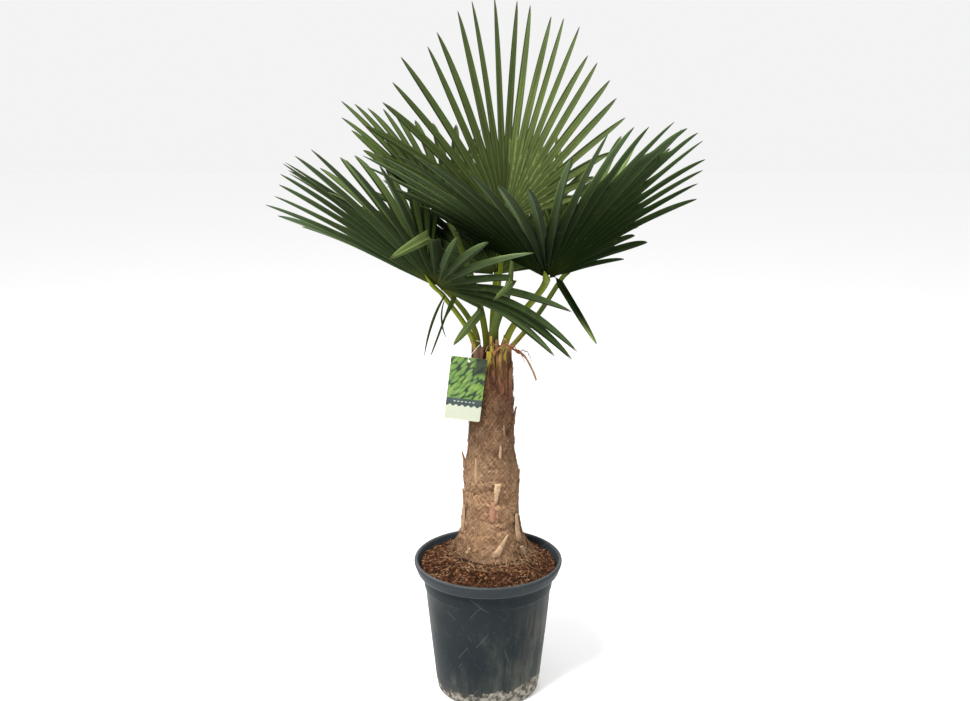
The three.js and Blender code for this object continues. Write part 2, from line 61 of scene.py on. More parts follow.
# The trunk stands off the pot's middle. Its girth is (height above the soil, radius).
TRUNK_AXIS = np.array((0.008, 0.040, 0.0))
TRUNK_FOOT = 0.3493
TRUNK_TOP = 0.8660
TRUNK_GIRTH = (
    (0.000, 0.0910),
    (0.026, 0.0840),
    (0.058, 0.0770),
    (0.105, 0.0700),
    (0.152, 0.0665),
    (0.218, 0.0655),
    (0.268, 0.0590),
    (0.322, 0.0545),
    (0.390, 0.0515),
    (0.450, 0.0500),
    (0.5217, 0.0470),
)

# Each fan's hub, the heading and rise of its middle leaflet, its roll, reach and droop; then for the
# half on the right and on the left: fold, spread, shortening, lift, number of leaflets, how much
# shorter the outermost ones are, and the share of the reach where the leaflets part; then its stalk's
# foot. Last, leaflets that hang (how far the tip has sunk), broken ones (their reach), ribs that are
# torn (how far out they still hold), leaflets that are rolled over (degrees), how much more or less
# painted light some get than their neighbours (lit), and how much wider some are (wide).
FANS = {
    "centre": dict(
        hub=(0.036, 0.100, 1.174), heading=98, rise=90, roll=36, reach=0.562, droop=0.05,
        right=(0, 82, 0.35, 0, 13, 1, 0.27), left=(5, 82, 0.35, 0, 12, 1, 0.27),
        foot=(0.013, 35, 0), rate=0.35,
        cut={12: 0.552, 14: 0.550, 17: 0.505},
    ),
    "right": dict(
        hub=(0.127, -0.205, 1.093), heading=-100, rise=33, roll=4, reach=0.550, droop=0.12,
        right=(32, 88, 0.42, 0, 11, 1, 0.38), left=(40, 142, 0.38, 0, 17, 0.9, 0.30),
        foot=(0.036, -45, 0.1), rate=0.22,
        lit={3: 2.4, 4: 1.9, 5: 1.5, 27: 150.0},
        wide={0: 0.6, 1: 0.7, 2: 0.75, 27: 1.15},
        cut={23: 0.45, 24: 0.27, 27: 0.21},
        torn={
            14: 0.24, 15: 0.26, 16: 0.27, 17: 0.35, 18: 0.37, 19: 0.29, 20: 0.23, 21: 0.24, 22: 0.23, 23: 0.22,
            26: 0.09, 27: 0.03, 28: 0.03,
        },
    ),
    "left": dict(
        hub=(-0.116, -0.120, 1.057), heading=236, rise=45, roll=-2, reach=0.515, droop=0.08,
        right=(8, 88, 0.3, 0.5, 9, 0, 0.34), left=(0, 132, 0.55, 0, 13, 1, 0.16),
        foot=(0.036, 205, 0.14), rate=0.4,
        sunk={16: 0.02, 17: 0.08, 18: 0.075, 19: 0.055},
        rolled={12: 25, 14: 20, 16: -20, 17: -45, 18: -45, 19: -50},
        lit={
            0: 1.6, 1: 1.9, 2: 1.4, 11: 0.45, 12: 1.6, 13: 1.4, 14: 1.9, 15: 0.7, 16: 0.7, 17: 0.75, 18: 0.85,
            19: 1.7, 20: 2.2,
        },
        wide={11: 1.55, 20: 1.3, 21: 0.5},
        cut={
            0: 0.485, 1: 0.495, 2: 0.490, 3: 0.445, 4: 0.435, 5: 0.445, 6: 0.465, 7: 0.485, 11: 0.345,
            12: 0.30, 13: 0.36, 15: 0.35, 20: 0.22, 21: 0.19,
        },
        torn={21: 0.05, 22: 0.04},
    ),
    "up_left": dict(
        hub=(-0.089, 0.150, 1.162), heading=112, rise=38, roll=12, reach=0.460, droop=0.08,
        right=(10, 72, 0.25, 0, 10, 1, 0.38), left=(20, 60, 0.42, 0, 8, 0.6, 0.38),
        foot=(0.013, 150, 0), rate=0.35,
    ),
    "back_right": dict(
        hub=(0.193, 0.140, 1.045), heading=36, rise=45, roll=0, reach=0.490, droop=0.1,
        right=(38, 90, 0.35, 0, 13, 1, 0.38), left=(30, 60, 0.3, 0, 9, 1, 0.38),
        foot=(0.036, 5, 0.4), rate=0.3,
    ),
    "back": dict(
        hub=(0.022, 0.232, 1.022), heading=84, rise=46, roll=0, reach=0.490, droop=0.1,
        right=(6, 82, 0.25, 0, 12, 1, 0.34), left=(8, 92, 0.25, 0, 13, 0.6, 0.34),
        foot=(0.036, 82, 0), rate=0.45,
        cut={22: 0.32, 23: 0.24, 24: 0.19},
    ),
    "back_left": dict(
        hub=(-0.150, 0.165, 1.035), heading=156, rise=36, roll=0, reach=0.480, droop=0.12,
        right=(34, 56, 0.3, 0, 8, 1, 0.38), left=(30, 66, 0.3, 0, 9, 1, 0.38),
        foot=(0.036, 150, 0), rate=0.4,
    ),
}

# Leaflets that stop short of a neighbouring frond: fan, leaflet, reach.
KEPT_SHORT = {
    "back_right": {16: 0.263, 17: 0.207},
}

HUB_RADIUS = 0.010


# ---------- numbers that repeat ----------


def chance(a, b):
    """A repeatable number from 0 to 1 for a pair of whole numbers."""
    return ((a * 7919 + b * 104729 + a * b * 331 + 17) % 1009) / 1009


def polar(radius, heading, z=0.0):
    """A point at a radius and a heading in degrees."""
    a = math.radians(heading)
    return np.array((radius * math.cos(a), radius * math.sin(a), z))


def unit(v):
    """Vectors brought to length one."""
    return v / np.maximum(np.linalg.norm(v, axis=-1, keepdims=True), 1e-12)


def smooth(x):
    """An S-curve from 0 to 1."""
    x = np.clip(x, 0.0, 1.0)
    return x * x * (3 - 2 * x)


def grain(u, v, seed, period=0):
    """Smooth noise from -1 to 1 over a plane. A period closes it round a stem."""
    iu = np.floor(u).astype(np.int64)
    iv = np.floor(v).astype(np.int64)
    fu = smooth(u - iu)
    fv = smooth(v - iv)

    def knot(a, b):
        if period:
            a = a % period
        h = (a * 374761393 + b * 668265263 + seed * 69069) & 0x7FFFFFFF
        h = ((h ^ (h >> 13)) * 1274126177) & 0x7FFFFFFF
        return (h ^ (h >> 16)) % 10007 / 5003.5 - 1

    low = knot(iu, iv) * (1 - fu) + knot(iu + 1, iv) * fu
    high = knot(iu, iv + 1) * (1 - fu) + knot(iu + 1, iv + 1) * fu
    return low * (1 - fv) + high * fv


# ---------- meshes ----------


def add_piece(name, verts, faces, materials, values=None, flat=False):
    """A mesh object at the origin, with named values stored on its points."""
    mesh = bpy.data.meshes.new(name)
    mesh.from_pydata(np.asarray(verts, float).tolist(), [], [list(f) for f in faces])
    for key, data in (values or {}).items():
        layer = mesh.attributes.new(key, "FLOAT", "POINT")
        layer.data.foreach_set("value", np.asarray(data, np.float32))
    for material in materials:
        mesh.materials.append(material)
    if not flat:
        mesh.polygons.foreach_set("use_smooth", np.ones(len(mesh.polygons), bool))
    mesh.update()
    piece = bpy.data.objects.new(name, mesh)
    bpy.context.scene.collection.objects.link(piece)
    return piece


def weld(piece, distance=1e-5):
    """Joins points that fall on each other and turns the faces outwards."""
    bm = bmesh.new()
    bm.from_mesh(piece.data)
    bmesh.ops.remove_doubles(bm, verts=bm.verts, dist=distance)
    bmesh.ops.dissolve_degenerate(bm, edges=bm.edges, dist=distance)
    bmesh.ops.recalc_face_normals(bm, faces=bm.faces)
    bm.to_mesh(piece.data)
    bm.free()
    return piece


def finish_piece(piece, replaced=()):
    """Hangs a piece on the plant's one body and hides the frame's parts that it replaces."""
    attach(piece, "root")
    if replaced:
        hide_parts(*replaced)


class Shape:
    """Gathers points, faces and point values of parts that become one mesh."""

    def __init__(self):
        self.verts = []
        self.faces = []
        self.values = {}

    def add(self, verts, faces, **values):
        """Adds one part. Each value is a number or one number for each point."""
        base = sum(len(v) for v in self.verts)
        verts = np.asarray(verts, float).reshape(-1, 3)
        self.verts.append(verts)
        self.faces.extend([tuple(i + base for i in f) for f in faces])
        for key, value in values.items():
            self.values.setdefault(key, []).append(np.broadcast_to(np.asarray(value, float), (len(verts),)))

    def build(self, name, finish, distance=1e-5):
        """The finished mesh object, with points nearer than the distance joined."""
        values = {key: np.concatenate(parts) for key, parts in self.values.items()}
        return weld(add_piece(name, np.concatenate(self.verts), self.faces, [finish], values), distance)


def ring_faces(rings, sides, closed_ends=True, loop=False):
    """Faces of a tube of rings, whose points run anticlockwise seen from the last ring."""
    faces = []
    last = rings if loop else rings - 1
    for k in range(last):
        a = k * sides
        b = ((k + 1) % rings) * sides
        for j in range(sides):
            n = (j + 1) % sides
            faces.append((a + j, a + n, b + n, b + j))
    if closed_ends and not loop:
        faces.append(tuple(reversed(range(sides))))
        faces.append(tuple(range((rings - 1) * sides, rings * sides)))
    return faces


def sweep(points, sides_dir, widths, depths, sides=12, flat_top=1.0, first=None):
    """Rings round a path: widths along the given side direction, depths square to it."""
    points = np.asarray(points, float)
    ahead = unit(np.gradient(points, axis=0))
    if first is not None:
        ahead[0] = first
    across = unit(sides_dir - ahead * np.sum(sides_dir * ahead, axis=1, keepdims=True))
    over = np.cross(ahead, across)
    angle = (np.arange(sides) + 0.5) / sides * 2 * np.pi
    c = np.cos(angle)[None, :, None]
    s = np.sin(angle)
    s = np.where(s > 0, s * flat_top, s)[None, :, None]
    half_w = (np.asarray(widths) / 2)[:, None, None]
    half_d = (np.asarray(depths) / 2)[:, None, None]
    return points[:, None] + across[:, None] * half_w * c + over[:, None] * half_d * s


def hoop(turn, radius, z):
    """Points of a level ring at the given angles."""
    return np.stack((radius * np.cos(turn), radius * np.sin(turn), np.full(len(turn), z)), axis=-1)


def bezier(p0, p1, p2, p3, shares):
    """Points on a cubic curve."""
    t = np.asarray(shares, float)[:, None]
    return (1 - t) ** 3 * p0 + 3 * (1 - t) ** 2 * t * p1 + 3 * (1 - t) * t * t * p2 + t**3 * p3


# ---------- node trees ----------


def toned(colour, share):
    """A colour made darker or lighter."""
    return tuple(c * share for c in colour)


class Tree:
    """Short calls for building a node tree."""

    def __init__(self, tree):
        self.tree = tree

    def add(self, kind, settings=None, **inputs):
        """A node. Its inputs are given by name or by their place after an underscore."""
        node = self.tree.nodes.new(kind)
        for key, value in (settings or {}).items():
            setattr(node, key, value)
        for key, value in inputs.items():
            socket = node.inputs[int(key[1:])] if key[0] == "_" else node.inputs[key.replace("_", " ")]
            self.put(socket, value)
        return node

    def put(self, socket, value):
        """A link from another node's output, or a plain value."""
        if isinstance(value, bpy.types.NodeSocket):
            self.tree.links.new(value, socket)
        elif isinstance(value, bpy.types.Node):
            self.tree.links.new(value.outputs[0], socket)
        elif socket.type == "RGBA" and len(value) == 3:
            socket.default_value = (*value, 1.0)
        else:
            socket.default_value = value

    def math(self, operation, a, b=0.0):
        """A sum on two numbers."""
        return self.add("ShaderNodeMath", {"operation": operation}, _0=a, _1=b).outputs[0]

    def times(self, a, b):
        """The first number times the second."""
        return self.math("MULTIPLY", a, b)

    def plus(self, a, b):
        """The two numbers together."""
        return self.math("ADD", a, b)

    def less(self, a, b):
        """The first number less the second."""
        return self.math("SUBTRACT", a, b)

    def rest(self, a):
        """What a share leaves of one."""
        return self.math("SUBTRACT", 1.0, a)

    def size(self, a):
        """The number without its sign."""
        return self.math("ABSOLUTE", a)

    def mix(self, share, a, b):
        """Two colours mixed by a share."""
        node = self.add("ShaderNodeMix", {"data_type": "RGBA"})
        self.put(node.inputs[0], share)
        self.put(node.inputs[6], a)
        self.put(node.inputs[7], b)
        return node.outputs[2]

    def cover(self, colour, paint, mask, share):
        """A colour painted over with a share of another where the mask lies."""
        return self.mix(self.times(mask, share), colour, paint)

    def vector(self, operation, a, **inputs):
        """A sum on vectors or colours."""
        return self.add("ShaderNodeVectorMath", {"operation": operation}, _0=a, **inputs).outputs[0]

    def ramp(self, value, low, high):
        """A number brought from the span low to high on to 0 to 1."""
        node = self.add("ShaderNodeMapRange", {"clamp": True})
        self.put(node.inputs["Value"], value)
        self.put(node.inputs["From Min"], low)
        self.put(node.inputs["From Max"], high)
        return node.outputs["Result"]

    def value(self, name):
        """A number stored on the mesh's points."""
        return self.add("ShaderNodeAttribute", {"attribute_name": name}).outputs["Fac"]

    def spread(self, x, y, z=0.0):
        """A place made from its three numbers."""
        return self.add("ShaderNodeCombineXYZ", X=x, Y=y, Z=z).outputs[0]

    def cells(self, vector, scale):
        """Flat random cells."""
        node = self.add("ShaderNodeTexVoronoi", {"voronoi_dimensions": "2D"}, Vector=vector, Scale=scale)
        return node.outputs

    def noise(self, vector, scale, detail=3.0, rough=0.55):
        """Plain noise."""
        return self.add(
            "ShaderNodeTexNoise", Vector=vector, Scale=scale, Detail=detail, Roughness=rough
        ).outputs["Fac"]


FLOAT = "NodeSocketFloat"
VECTOR = "NodeSocketVector"
GEOMETRY = "NodeSocketGeometry"


def group_tree(name, kind, sockets_in, sockets_out):
    """An empty node group: its tree, its inputs, its outputs and its input sockets' identifiers."""
    tree = bpy.data.node_groups.new(name, kind)
    identifiers = {}
    for label, socket_kind, default in sockets_in:
        socket = tree.interface.new_socket(name=label, in_out="INPUT", socket_type=socket_kind)
        if default is not None:
            socket.default_value = default
        identifiers[label] = socket.identifier
    for label, socket_kind in sockets_out:
        tree.interface.new_socket(name=label, in_out="OUTPUT", socket_type=socket_kind)
    entry = tree.nodes.new("NodeGroupInput")
    leave = tree.nodes.new("NodeGroupOutput")
    return Tree(tree), entry.outputs, leave.inputs, identifiers


def effect(name, numbers, results):
    """An empty shader effect that takes a vector and some numbers, and gives numbers."""
    rows = [("Vector", VECTOR, None)] + [(label, FLOAT, default) for label, default in numbers.items()]
    return group_tree(name, "ShaderNodeTree", rows, [(label, FLOAT) for label in results])[:3]


def make_streaks():
    """Fine fibres: noise drawn out along one direction, as a mask and a height."""
    t, given, out = effect(
        "Fibre streaks",
        {"Scale": 300.0, "Stretch": 0.06, "Contrast": 0.3},
        ("Mask", "Height"),
    )
    squeeze = t.spread(1.0, 1.0, given["Stretch"])
    drawn = t.vector("MULTIPLY", given["Vector"], _1=squeeze)
    fine = t.noise(drawn, given["Scale"], 4.0, 0.6)
    low = t.less(0.5, given["Contrast"])
    high = t.plus(0.5, given["Contrast"])
    t.put(out["Mask"], t.ramp(fine, low, high))
    t.put(out["Height"], fine)
    return t.tree


def make_patches():
    """Soft patches of another tone, as a mask."""
    t, given, out = effect(
        "Tone patches",
        {"Scale": 20.0, "Low": 0.4, "High": 0.65},
        ("Mask",),
    )
    broad = t.noise(given["Vector"], given["Scale"], 5.0, 0.6)
    t.put(out["Mask"], t.ramp(broad, given["Low"], given["High"]))
    return t.tree


def make_scuffs():
    """Thin straight scratches that cross each other, on flat coordinates, as a mask."""
    t, given, out = effect(
        "Scuffs",
        {"Scale": 40.0, "Width": 0.03, "Share": 0.3},
        ("Mask",),
    )
    mask = 0.0
    for turn, seed in ((0.9, 3.0), (-0.7, 11.0), (0.35, 17.0)):
        placed = t.add(
            "ShaderNodeMapping", {"vector_type": "TEXTURE"}, Vector=given["Vector"],
            Location=(seed, seed * 0.7, 0), Rotation=(0, 0, turn), Scale=(1.0, 4.0, 1.0),
        )
        grown = t.vector("SCALE", placed.outputs[0], Scale=given["Scale"])
        cells = t.cells(grown, 1.0)
        away = t.add("ShaderNodeSeparateXYZ", _0=t.vector("SUBTRACT", grown, _1=cells["Position"]))
        lot = t.add("ShaderNodeSeparateColor", _0=cells["Color"])
        beside = t.size(away.outputs[0])
        line = t.rest(t.ramp(beside, t.times(given["Width"], 0.3), given["Width"]))
        ahead = t.less(t.times(lot.outputs[1], 0.5), t.size(away.outputs[1]))
        line = t.times(line, t.ramp(ahead, 0.0, 0.12))
        chosen = t.math("LESS_THAN", lot.outputs[0], given["Share"])
        mask = t.math("MAXIMUM", t.times(line, chosen), mask)
    t.put(out["Mask"], mask)
    return t.tree


EFFECTS = {}


def effect_node(t, name, **inputs):
    """Places one of the shared effects in a material."""
    makers = {"Fibre streaks": make_streaks, "Tone patches": make_patches, "Scuffs": make_scuffs}
    if name not in EFFECTS:
        EFFECTS[name] = makers[name]()
    node = t.tree.nodes.new("ShaderNodeGroup")
    node.node_tree = EFFECTS[name]
    for key, value in inputs.items():
        t.put(node.inputs[key], value)
    return node.outputs


def patches(t, place, scale, low, high):
    """Soft patches of another tone, as a mask."""
    return effect_node(t, "Tone patches", Vector=place, Scale=scale, Low=low, High=high)["Mask"]


def fibres(t, place, scale, stretch, contrast):
    """Fine fibres, as a mask and a height."""
    return effect_node(t, "Fibre streaks", Vector=place, Scale=scale, Stretch=stretch, Contrast=contrast)


def material(name, roughness=0.6, specular=0.5):
    """A new material, its tree, its shader, and the object's own coordinates."""
    finish = bpy.data.materials.new(name)
    finish.use_nodes = True
    t = Tree(finish.node_tree)
    shader = finish.node_tree.nodes["Principled BSDF"]
    shader.inputs["Roughness"].default_value = roughness
    shader.inputs["Specular IOR Level"].default_value = specular
    place = t.add("ShaderNodeTexCoord").outputs["Object"]
    return finish, t, shader, place


def coat(t, shader, colour):
    """Feeds a colour to the shader."""
    t.put(shader.inputs["Base Color"], colour)


def bump(t, shader, height, strength, distance):
    """Feeds a height to the shader's normal."""
    node = t.add("ShaderNodeBump", Strength=strength, Distance=distance, Height=height)
    t.put(shader.inputs["Normal"], node.outputs[0])


# ---------- settings ----------


def tint(label, note, value):
    """A colour setting."""
    return FloatVectorProperty(
        name=label, description=note, default=value, size=3, min=0.0, max=1.0, subtype="COLOR"
    )


def length(label, note, value, low=0.0, high=5.0):
    """A length setting."""
    return FloatProperty(
        name=label, description=note, default=value, min=low, max=high, subtype="DISTANCE", unit="LENGTH"
    )


def count(label, note, value):
    """A number of small pieces."""
    return IntProperty(name=label, description=note, default=value, min=0, max=60000)


class PotSettings(bpy.types.PropertyGroup):
    """The nursery pot."""

    rim_radius: length("Rim radius", "Radius over the pot's lip", 0.184)
    base_radius: length("Base radius", "Radius at the pot's foot", 0.130)
    height: length("Height", "From the floor to the top of the lip", 0.348)
    body_colour: tint("Body", "Colour of the moulded wall", (0.0100, 0.0140, 0.0163))
    lip_colour: tint("Lip", "Colour of the lip, worn a little lighter", (0.0215, 0.0265, 0.0305))
    dust_colour: tint("Dust", "Dried mud and dust on the lower wall", (0.235, 0.215, 0.180))


class MixSettings(bpy.types.PropertyGroup):
    """The potting mix."""

    colour: tint("Mix", "Colour of the damp bark and coir", (0.050, 0.021, 0.010))
    chip_colour: tint("Chips", "Colour of the paler chips", (0.24, 0.115, 0.055))
    chips: count("Chips", "Chips to a square metre", 26000)
    straws: count("Straws", "Straws to a square metre", 4600)


class TrunkSettings(bpy.types.PropertyGroup):
    """The stem and its fibre."""

    relief: length("Relief", "How far the fibre mats stand out", 0.0026, 0.0, 0.02)
    light: tint("Light fibre", "Colour of the dry outer fibre", (0.335, 0.208, 0.117))
    dark: tint("Dark fibre", "Colour of the inner fibre", (0.085, 0.040, 0.020))
    strands: count("Strands", "Strands to a square metre", 23000)


class FanSettings(bpy.types.PropertyGroup):
    """The fronds' blades."""

    leaf_width: length("Leaflet width", "Half width of a leaflet along its free part", 0.0145, 0.002, 0.03)
    thickness: length("Thickness", "Thickness of the blade", 0.0009, 0.0003, 0.006)
    pleat: length("Pleat", "Half depth of the folds", 0.0055, 0.0, 0.01)
    # The greens are the ends of the painted light and shade on each leaflet; the underside is kept darker as
    # painted shade.
    dark_green: tint("Dark green", "Upper face in its darkest tone", (0.0045, 0.0110, 0.0015))
    mid_green: tint("Mid green", "Upper face in its lightest tone", (0.1500, 0.2000, 0.0600))
    under_green: tint("Underside", "Lower face in its lightest tone", (0.0520, 0.0780, 0.0280))
    hub_yellow: tint("Hub", "Yellow green where the ribs meet", (0.082, 0.088, 0.008))


class StalkSettings(bpy.types.PropertyGroup):
    """The leaf stalks."""

    green: tint("Stalk", "Colour along the stalk", (0.125, 0.160, 0.006))
    shade: tint("Shaded side", "Colour of the stalk's darker streaks", (0.018, 0.028, 0.004))
    yellow: tint("Foot", "Colour where the stalk leaves the trunk", (0.175, 0.165, 0.022))


class LabelSettings(bpy.types.PropertyGroup):
    """The hanging label."""

    width: length("Width", "Width of the card", 0.086)
    height: length("Height", "Height of the card", 0.156)
    tilt: FloatProperty(
        name="Tilt", description="Turn of the hanging card", default=math.radians(6.9),
        min=-1.0, max=1.0, subtype="ANGLE", unit="ROTATION",
    )


class StageSettings(bpy.types.PropertyGroup):
    """Floor, light and camera."""

    floor_colour: tint("Floor", "Plain pale floor", (0.93, 0.93, 0.93))
    lens: FloatProperty(
        name="Lens", description="Focal length", default=43.0, min=10, max=200, subtype="DISTANCE_CAMERA"
    )


# ---------- stage ----------


class PALM_OT_stage(bpy.types.Operator):
    """Makes the floor, the soft studio light and the camera"""

    bl_idname = "palm.stage"
    bl_label = "Stage"

    def execute(self, context):
        settings = context.scene.palm_stage
        scene = context.scene
        finish, t, shader, place = material("floor_finish", 0.9, 0.2)
        faint = effect_node(t, "Tone patches", Vector=place, Scale=1.4)["Mask"]
        near = t.mix(faint, toned(settings.floor_colour, 0.985), settings.floor_colour)
        away = t.add("ShaderNodeVectorMath", {"operation": "LENGTH"}, _0=place).outputs["Value"]
        coat(t, shader, t.mix(t.ramp(away, 1.5, 5.0), near, (1.0, 1.0, 1.0)))
        edge = 14.0
        corners = [(-edge, -edge, 0), (edge, -edge, 0), (edge, edge, 0), (-edge, edge, 0)]
        floor = add_piece("floor", corners, [(0, 1, 2, 3)], [finish], flat=True)
        floor.data.transform(Matrix.Translation((0, 0, -0.0004)))

        world = bpy.data.worlds.new("studio")
        world.use_nodes = True
        world.node_tree.nodes["Background"].inputs["Color"].default_value = (1.0, 1.0, 1.0, 1.0)
        world.node_tree.nodes["Background"].inputs["Strength"].default_value = 0.90
        scene.world = world

        lamps = (
            ("key", (-1.5, -1.9, 3.3), 1.2, 220.0),
            ("fill", (2.4, -1.8, 2.0), 2.0, 22.0),
            ("back", (0.4, 2.6, 2.8), 2.2, 40.0),
        )
        for name, place_at, size, power in lamps:
            light = bpy.data.lights.new(name, "AREA")
            light.shape = "DISK"
            light.size = size
            light.energy = power
            lamp = bpy.data.objects.new(name, light)
            lamp.location = place_at
            aim = Vector((0, 0, 0.9)) - Vector(place_at)
            lamp.rotation_euler = aim.to_track_quat("-Z", "Y").to_euler()
            scene.collection.objects.link(lamp)

        lens = bpy.data.cameras.new("camera")
        lens.lens = settings.lens
        lens.sensor_width = 36.0
        lens.clip_end = 60.0
        camera = bpy.data.objects.new("camera", lens)
        camera.location = (-0.0075, -2.69, 1.55)
        camera.rotation_euler = (math.radians(90 - 14), 0, 0)
        scene.collection.objects.link(camera)
        scene.camera = camera
        scene.view_settings.view_transform = "Standard"
        return {"FINISHED"}


# ---------- pot ----------


def pot_profile(settings):
    """Outline of the pot's section from the middle of its underside to the middle of its floor."""
    rim = settings.rim_radius

    def wall(out, z):
        return (settings.base_radius + out * MM, z * MM)

    def lip(out, z):
        return (rim + out * MM, z * MM)

    def brim(out, down):
        return (rim + out * MM, settings.height - down * MM)

    return (
        (0, 0), wall(-9, 0), wall(-7, 0.4), wall(-4, 2), wall(-2, 5), wall(-1.2, 12), wall(-0.8, 19),
        wall(-0.2, 21.5), wall(1.2, 23.5), wall(3, 36), wall(7.4, 80), wall(12.6, 130), wall(17.6, 180),
        wall(22.4, 228), wall(26.3, 274), wall(27.4, 276), wall(29.3, 278), wall(29.8, 281),
        wall(30.6, 301), wall(31.2, 310.5), lip(-20, 314), lip(-12, 315.3), lip(-9, 317), lip(-7, 320),
        lip(-4.2, 328), lip(-1.6, 335), lip(-0.3, 339), brim(0, 5), brim(-0.7, 2), brim(-2.4, 0.3),
        brim(-4, 0), brim(-6.4, 0.8), brim(-9, 3.5), brim(-11.4, 8), brim(-15, 18), wall(29, 318),
        wall(27, 308), wall(20, 224), wall(10, 120), wall(-2, 24), wall(-5.5, 9), wall(-8, 8), (0, 8 * MM),
    )


def pot_finish(settings):
    """Slate moulded plastic with scratches, smears of algae and dust, and mud at the foot."""
    finish, t, shader, place = material("pot_plastic", 0.46, 0.06)
    split = t.add("ShaderNodeSeparateXYZ", _0=place)
    height = split.outputs[2]
    around = t.times(t.math("ARCTAN2", split.outputs[1], split.outputs[0]), 0.16)
    flat = t.spread(around, height)
    lip = t.ramp(height, 0.312, 0.322)
    colour = t.mix(lip, settings.body_colour, settings.lip_colour)
    bloom = patches(t, place, 9.0, 0.38, 0.70)
    colour = t.cover(colour, (0.021, 0.027, 0.028), bloom, 0.30)
    smear = fibres(t, place, 34.0, 0.12, 0.10)["Mask"]
    patch = patches(t, place, 5.0, 0.44, 0.62)
    below = t.rest(t.ramp(height, 0.20, 0.30))
    smear = t.times(t.times(smear, patch), below)
    colour = t.cover(colour, (0.055, 0.063, 0.050), smear, 0.75)
    scratches = effect_node(t, "Scuffs", Vector=flat, Scale=64.0, Width=0.045, Share=0.05)["Mask"]
    colour = t.cover(colour, (0.16, 0.17, 0.17), scratches, 0.42)
    fine = effect_node(t, "Scuffs", Vector=flat, Scale=110.0, Width=0.055, Share=0.16)["Mask"]
    colour = t.cover(colour, (0.10, 0.11, 0.11), fine, 0.32)
    # the lip's lower edge is rubbed pale, and its top edge carries a painted highlight
    lower_edge = t.rest(t.ramp(t.size(t.less(height, 0.3178)), 0.0005, 0.0026))
    rub_and_highlight = t.math("MAXIMUM", lower_edge, t.ramp(height, 0.3435, 0.3475))
    colour = t.cover(colour, (0.13, 0.135, 0.13), rub_and_highlight, t.plus(0.22, t.times(patch, 0.3)))
    # earth splashed up the right side, washed down in streaks
    side = t.ramp(t.plus(split.outputs[0], t.times(patch, 0.03)), 0.060, 0.150)
    washed = fibres(t, place, 60.0, 0.10, 0.08)["Mask"]
    splash = t.times(t.times(washed, side), below)
    colour = t.cover(colour, (0.105, 0.095, 0.072), splash, 0.42)
    low = t.rest(t.ramp(height, 0.0, 0.10))
    streaks = fibres(t, place, 55.0, 0.25, 0.16)
    film = t.times(t.times(low, low), streaks["Mask"])
    dust = settings.dust_colour
    colour = t.mix(t.times(film, 0.62), colour, toned(dust, 0.5))
    # the crust of dried mud climbs unevenly, highest on the right
    climb = t.times(t.noise(place, 26.0, 6.0, 0.76), 0.085)
    climb = t.plus(climb, t.times(split.outputs[0], 0.11))
    mud = t.rest(t.ramp(t.less(height, climb), -0.006, 0.000))
    crumbs = patches(t, place, 75.0, 0.40, 0.60)
    crust = t.mix(crumbs, toned(dust, 0.24), toned(dust, 1.25))
    colour = t.mix(t.times(mud, 0.92), colour, crust)
    coat(t, shader, colour)
    worn = t.math("MAXIMUM", t.times(film, 0.6), t.math("MAXIMUM", mud, scratches))
    t.put(shader.inputs["Roughness"], t.plus(0.42, t.times(worn, 0.4)))
    grainy = t.noise(place, 620.0, 2.0, 0.5)
    relief = t.plus(t.times(grainy, 0.3), t.times(mud, t.plus(1.0, crumbs)))
    relief = t.less(relief, t.times(scratches, 0.6))
    bump(t, shader, relief, 0.35, 0.0008)
    return finish


class PALM_OT_pot(bpy.types.Operator):
    """Makes the nursery pot"""

    bl_idname = "palm.pot"
    bl_label = "Pot"

    def execute(self, context):
        settings = context.scene.palm_pot
        outline = np.array(pot_profile(settings))
        sides = 144
        turn = np.arange(sides) / sides * 2 * np.pi
        radius = np.repeat(outline[1:-1, :1], sides, axis=1)
        height = np.repeat(outline[1:-1, 1:], sides, axis=1)
        # raised bars moulded under the lip, with gaps between them
        bar = np.clip(1 - np.abs(height - 0.2935) / 0.013, 0, 1)
        gap = smooth((np.abs(((turn * 6 / (2 * np.pi) + 0.25) % 1) - 0.5) - 0.09) / 0.03)
        outside = (np.arange(len(outline) - 2) < 25)[:, None]
        radius = radius + np.where(outside, bar * 0.0006 * gap, 0)
        # the thin wall is never quite round
        sway = 0.0006 * np.cos(2 * turn + 0.6) + 0.0003 * np.cos(3 * turn)
        radius = radius + sway * smooth(height / 0.3)
        rings = np.stack((radius * np.cos(turn), radius * np.sin(turn), height), axis=-1)
        verts = np.concatenate((rings.reshape(-1, 3), [(0, 0, 0), (0, 0, outline[-1][1])]))
        count = len(outline) - 2
        faces = ring_faces(count, sides, closed_ends=False)
        under, floor = count * sides, count * sides + 1
        for j in range(sides):
            n = (j + 1) % sides
            faces.append((under, n, j))
            faces.append((floor, (count - 1) * sides + j, (count - 1) * sides + n))
        pot = add_piece("nursery_pot", verts, faces, [pot_finish(settings)])
        weld(pot)
        finish_piece(pot, ["pot"])
        return {"FINISHED"}


# ---------- fans ----------


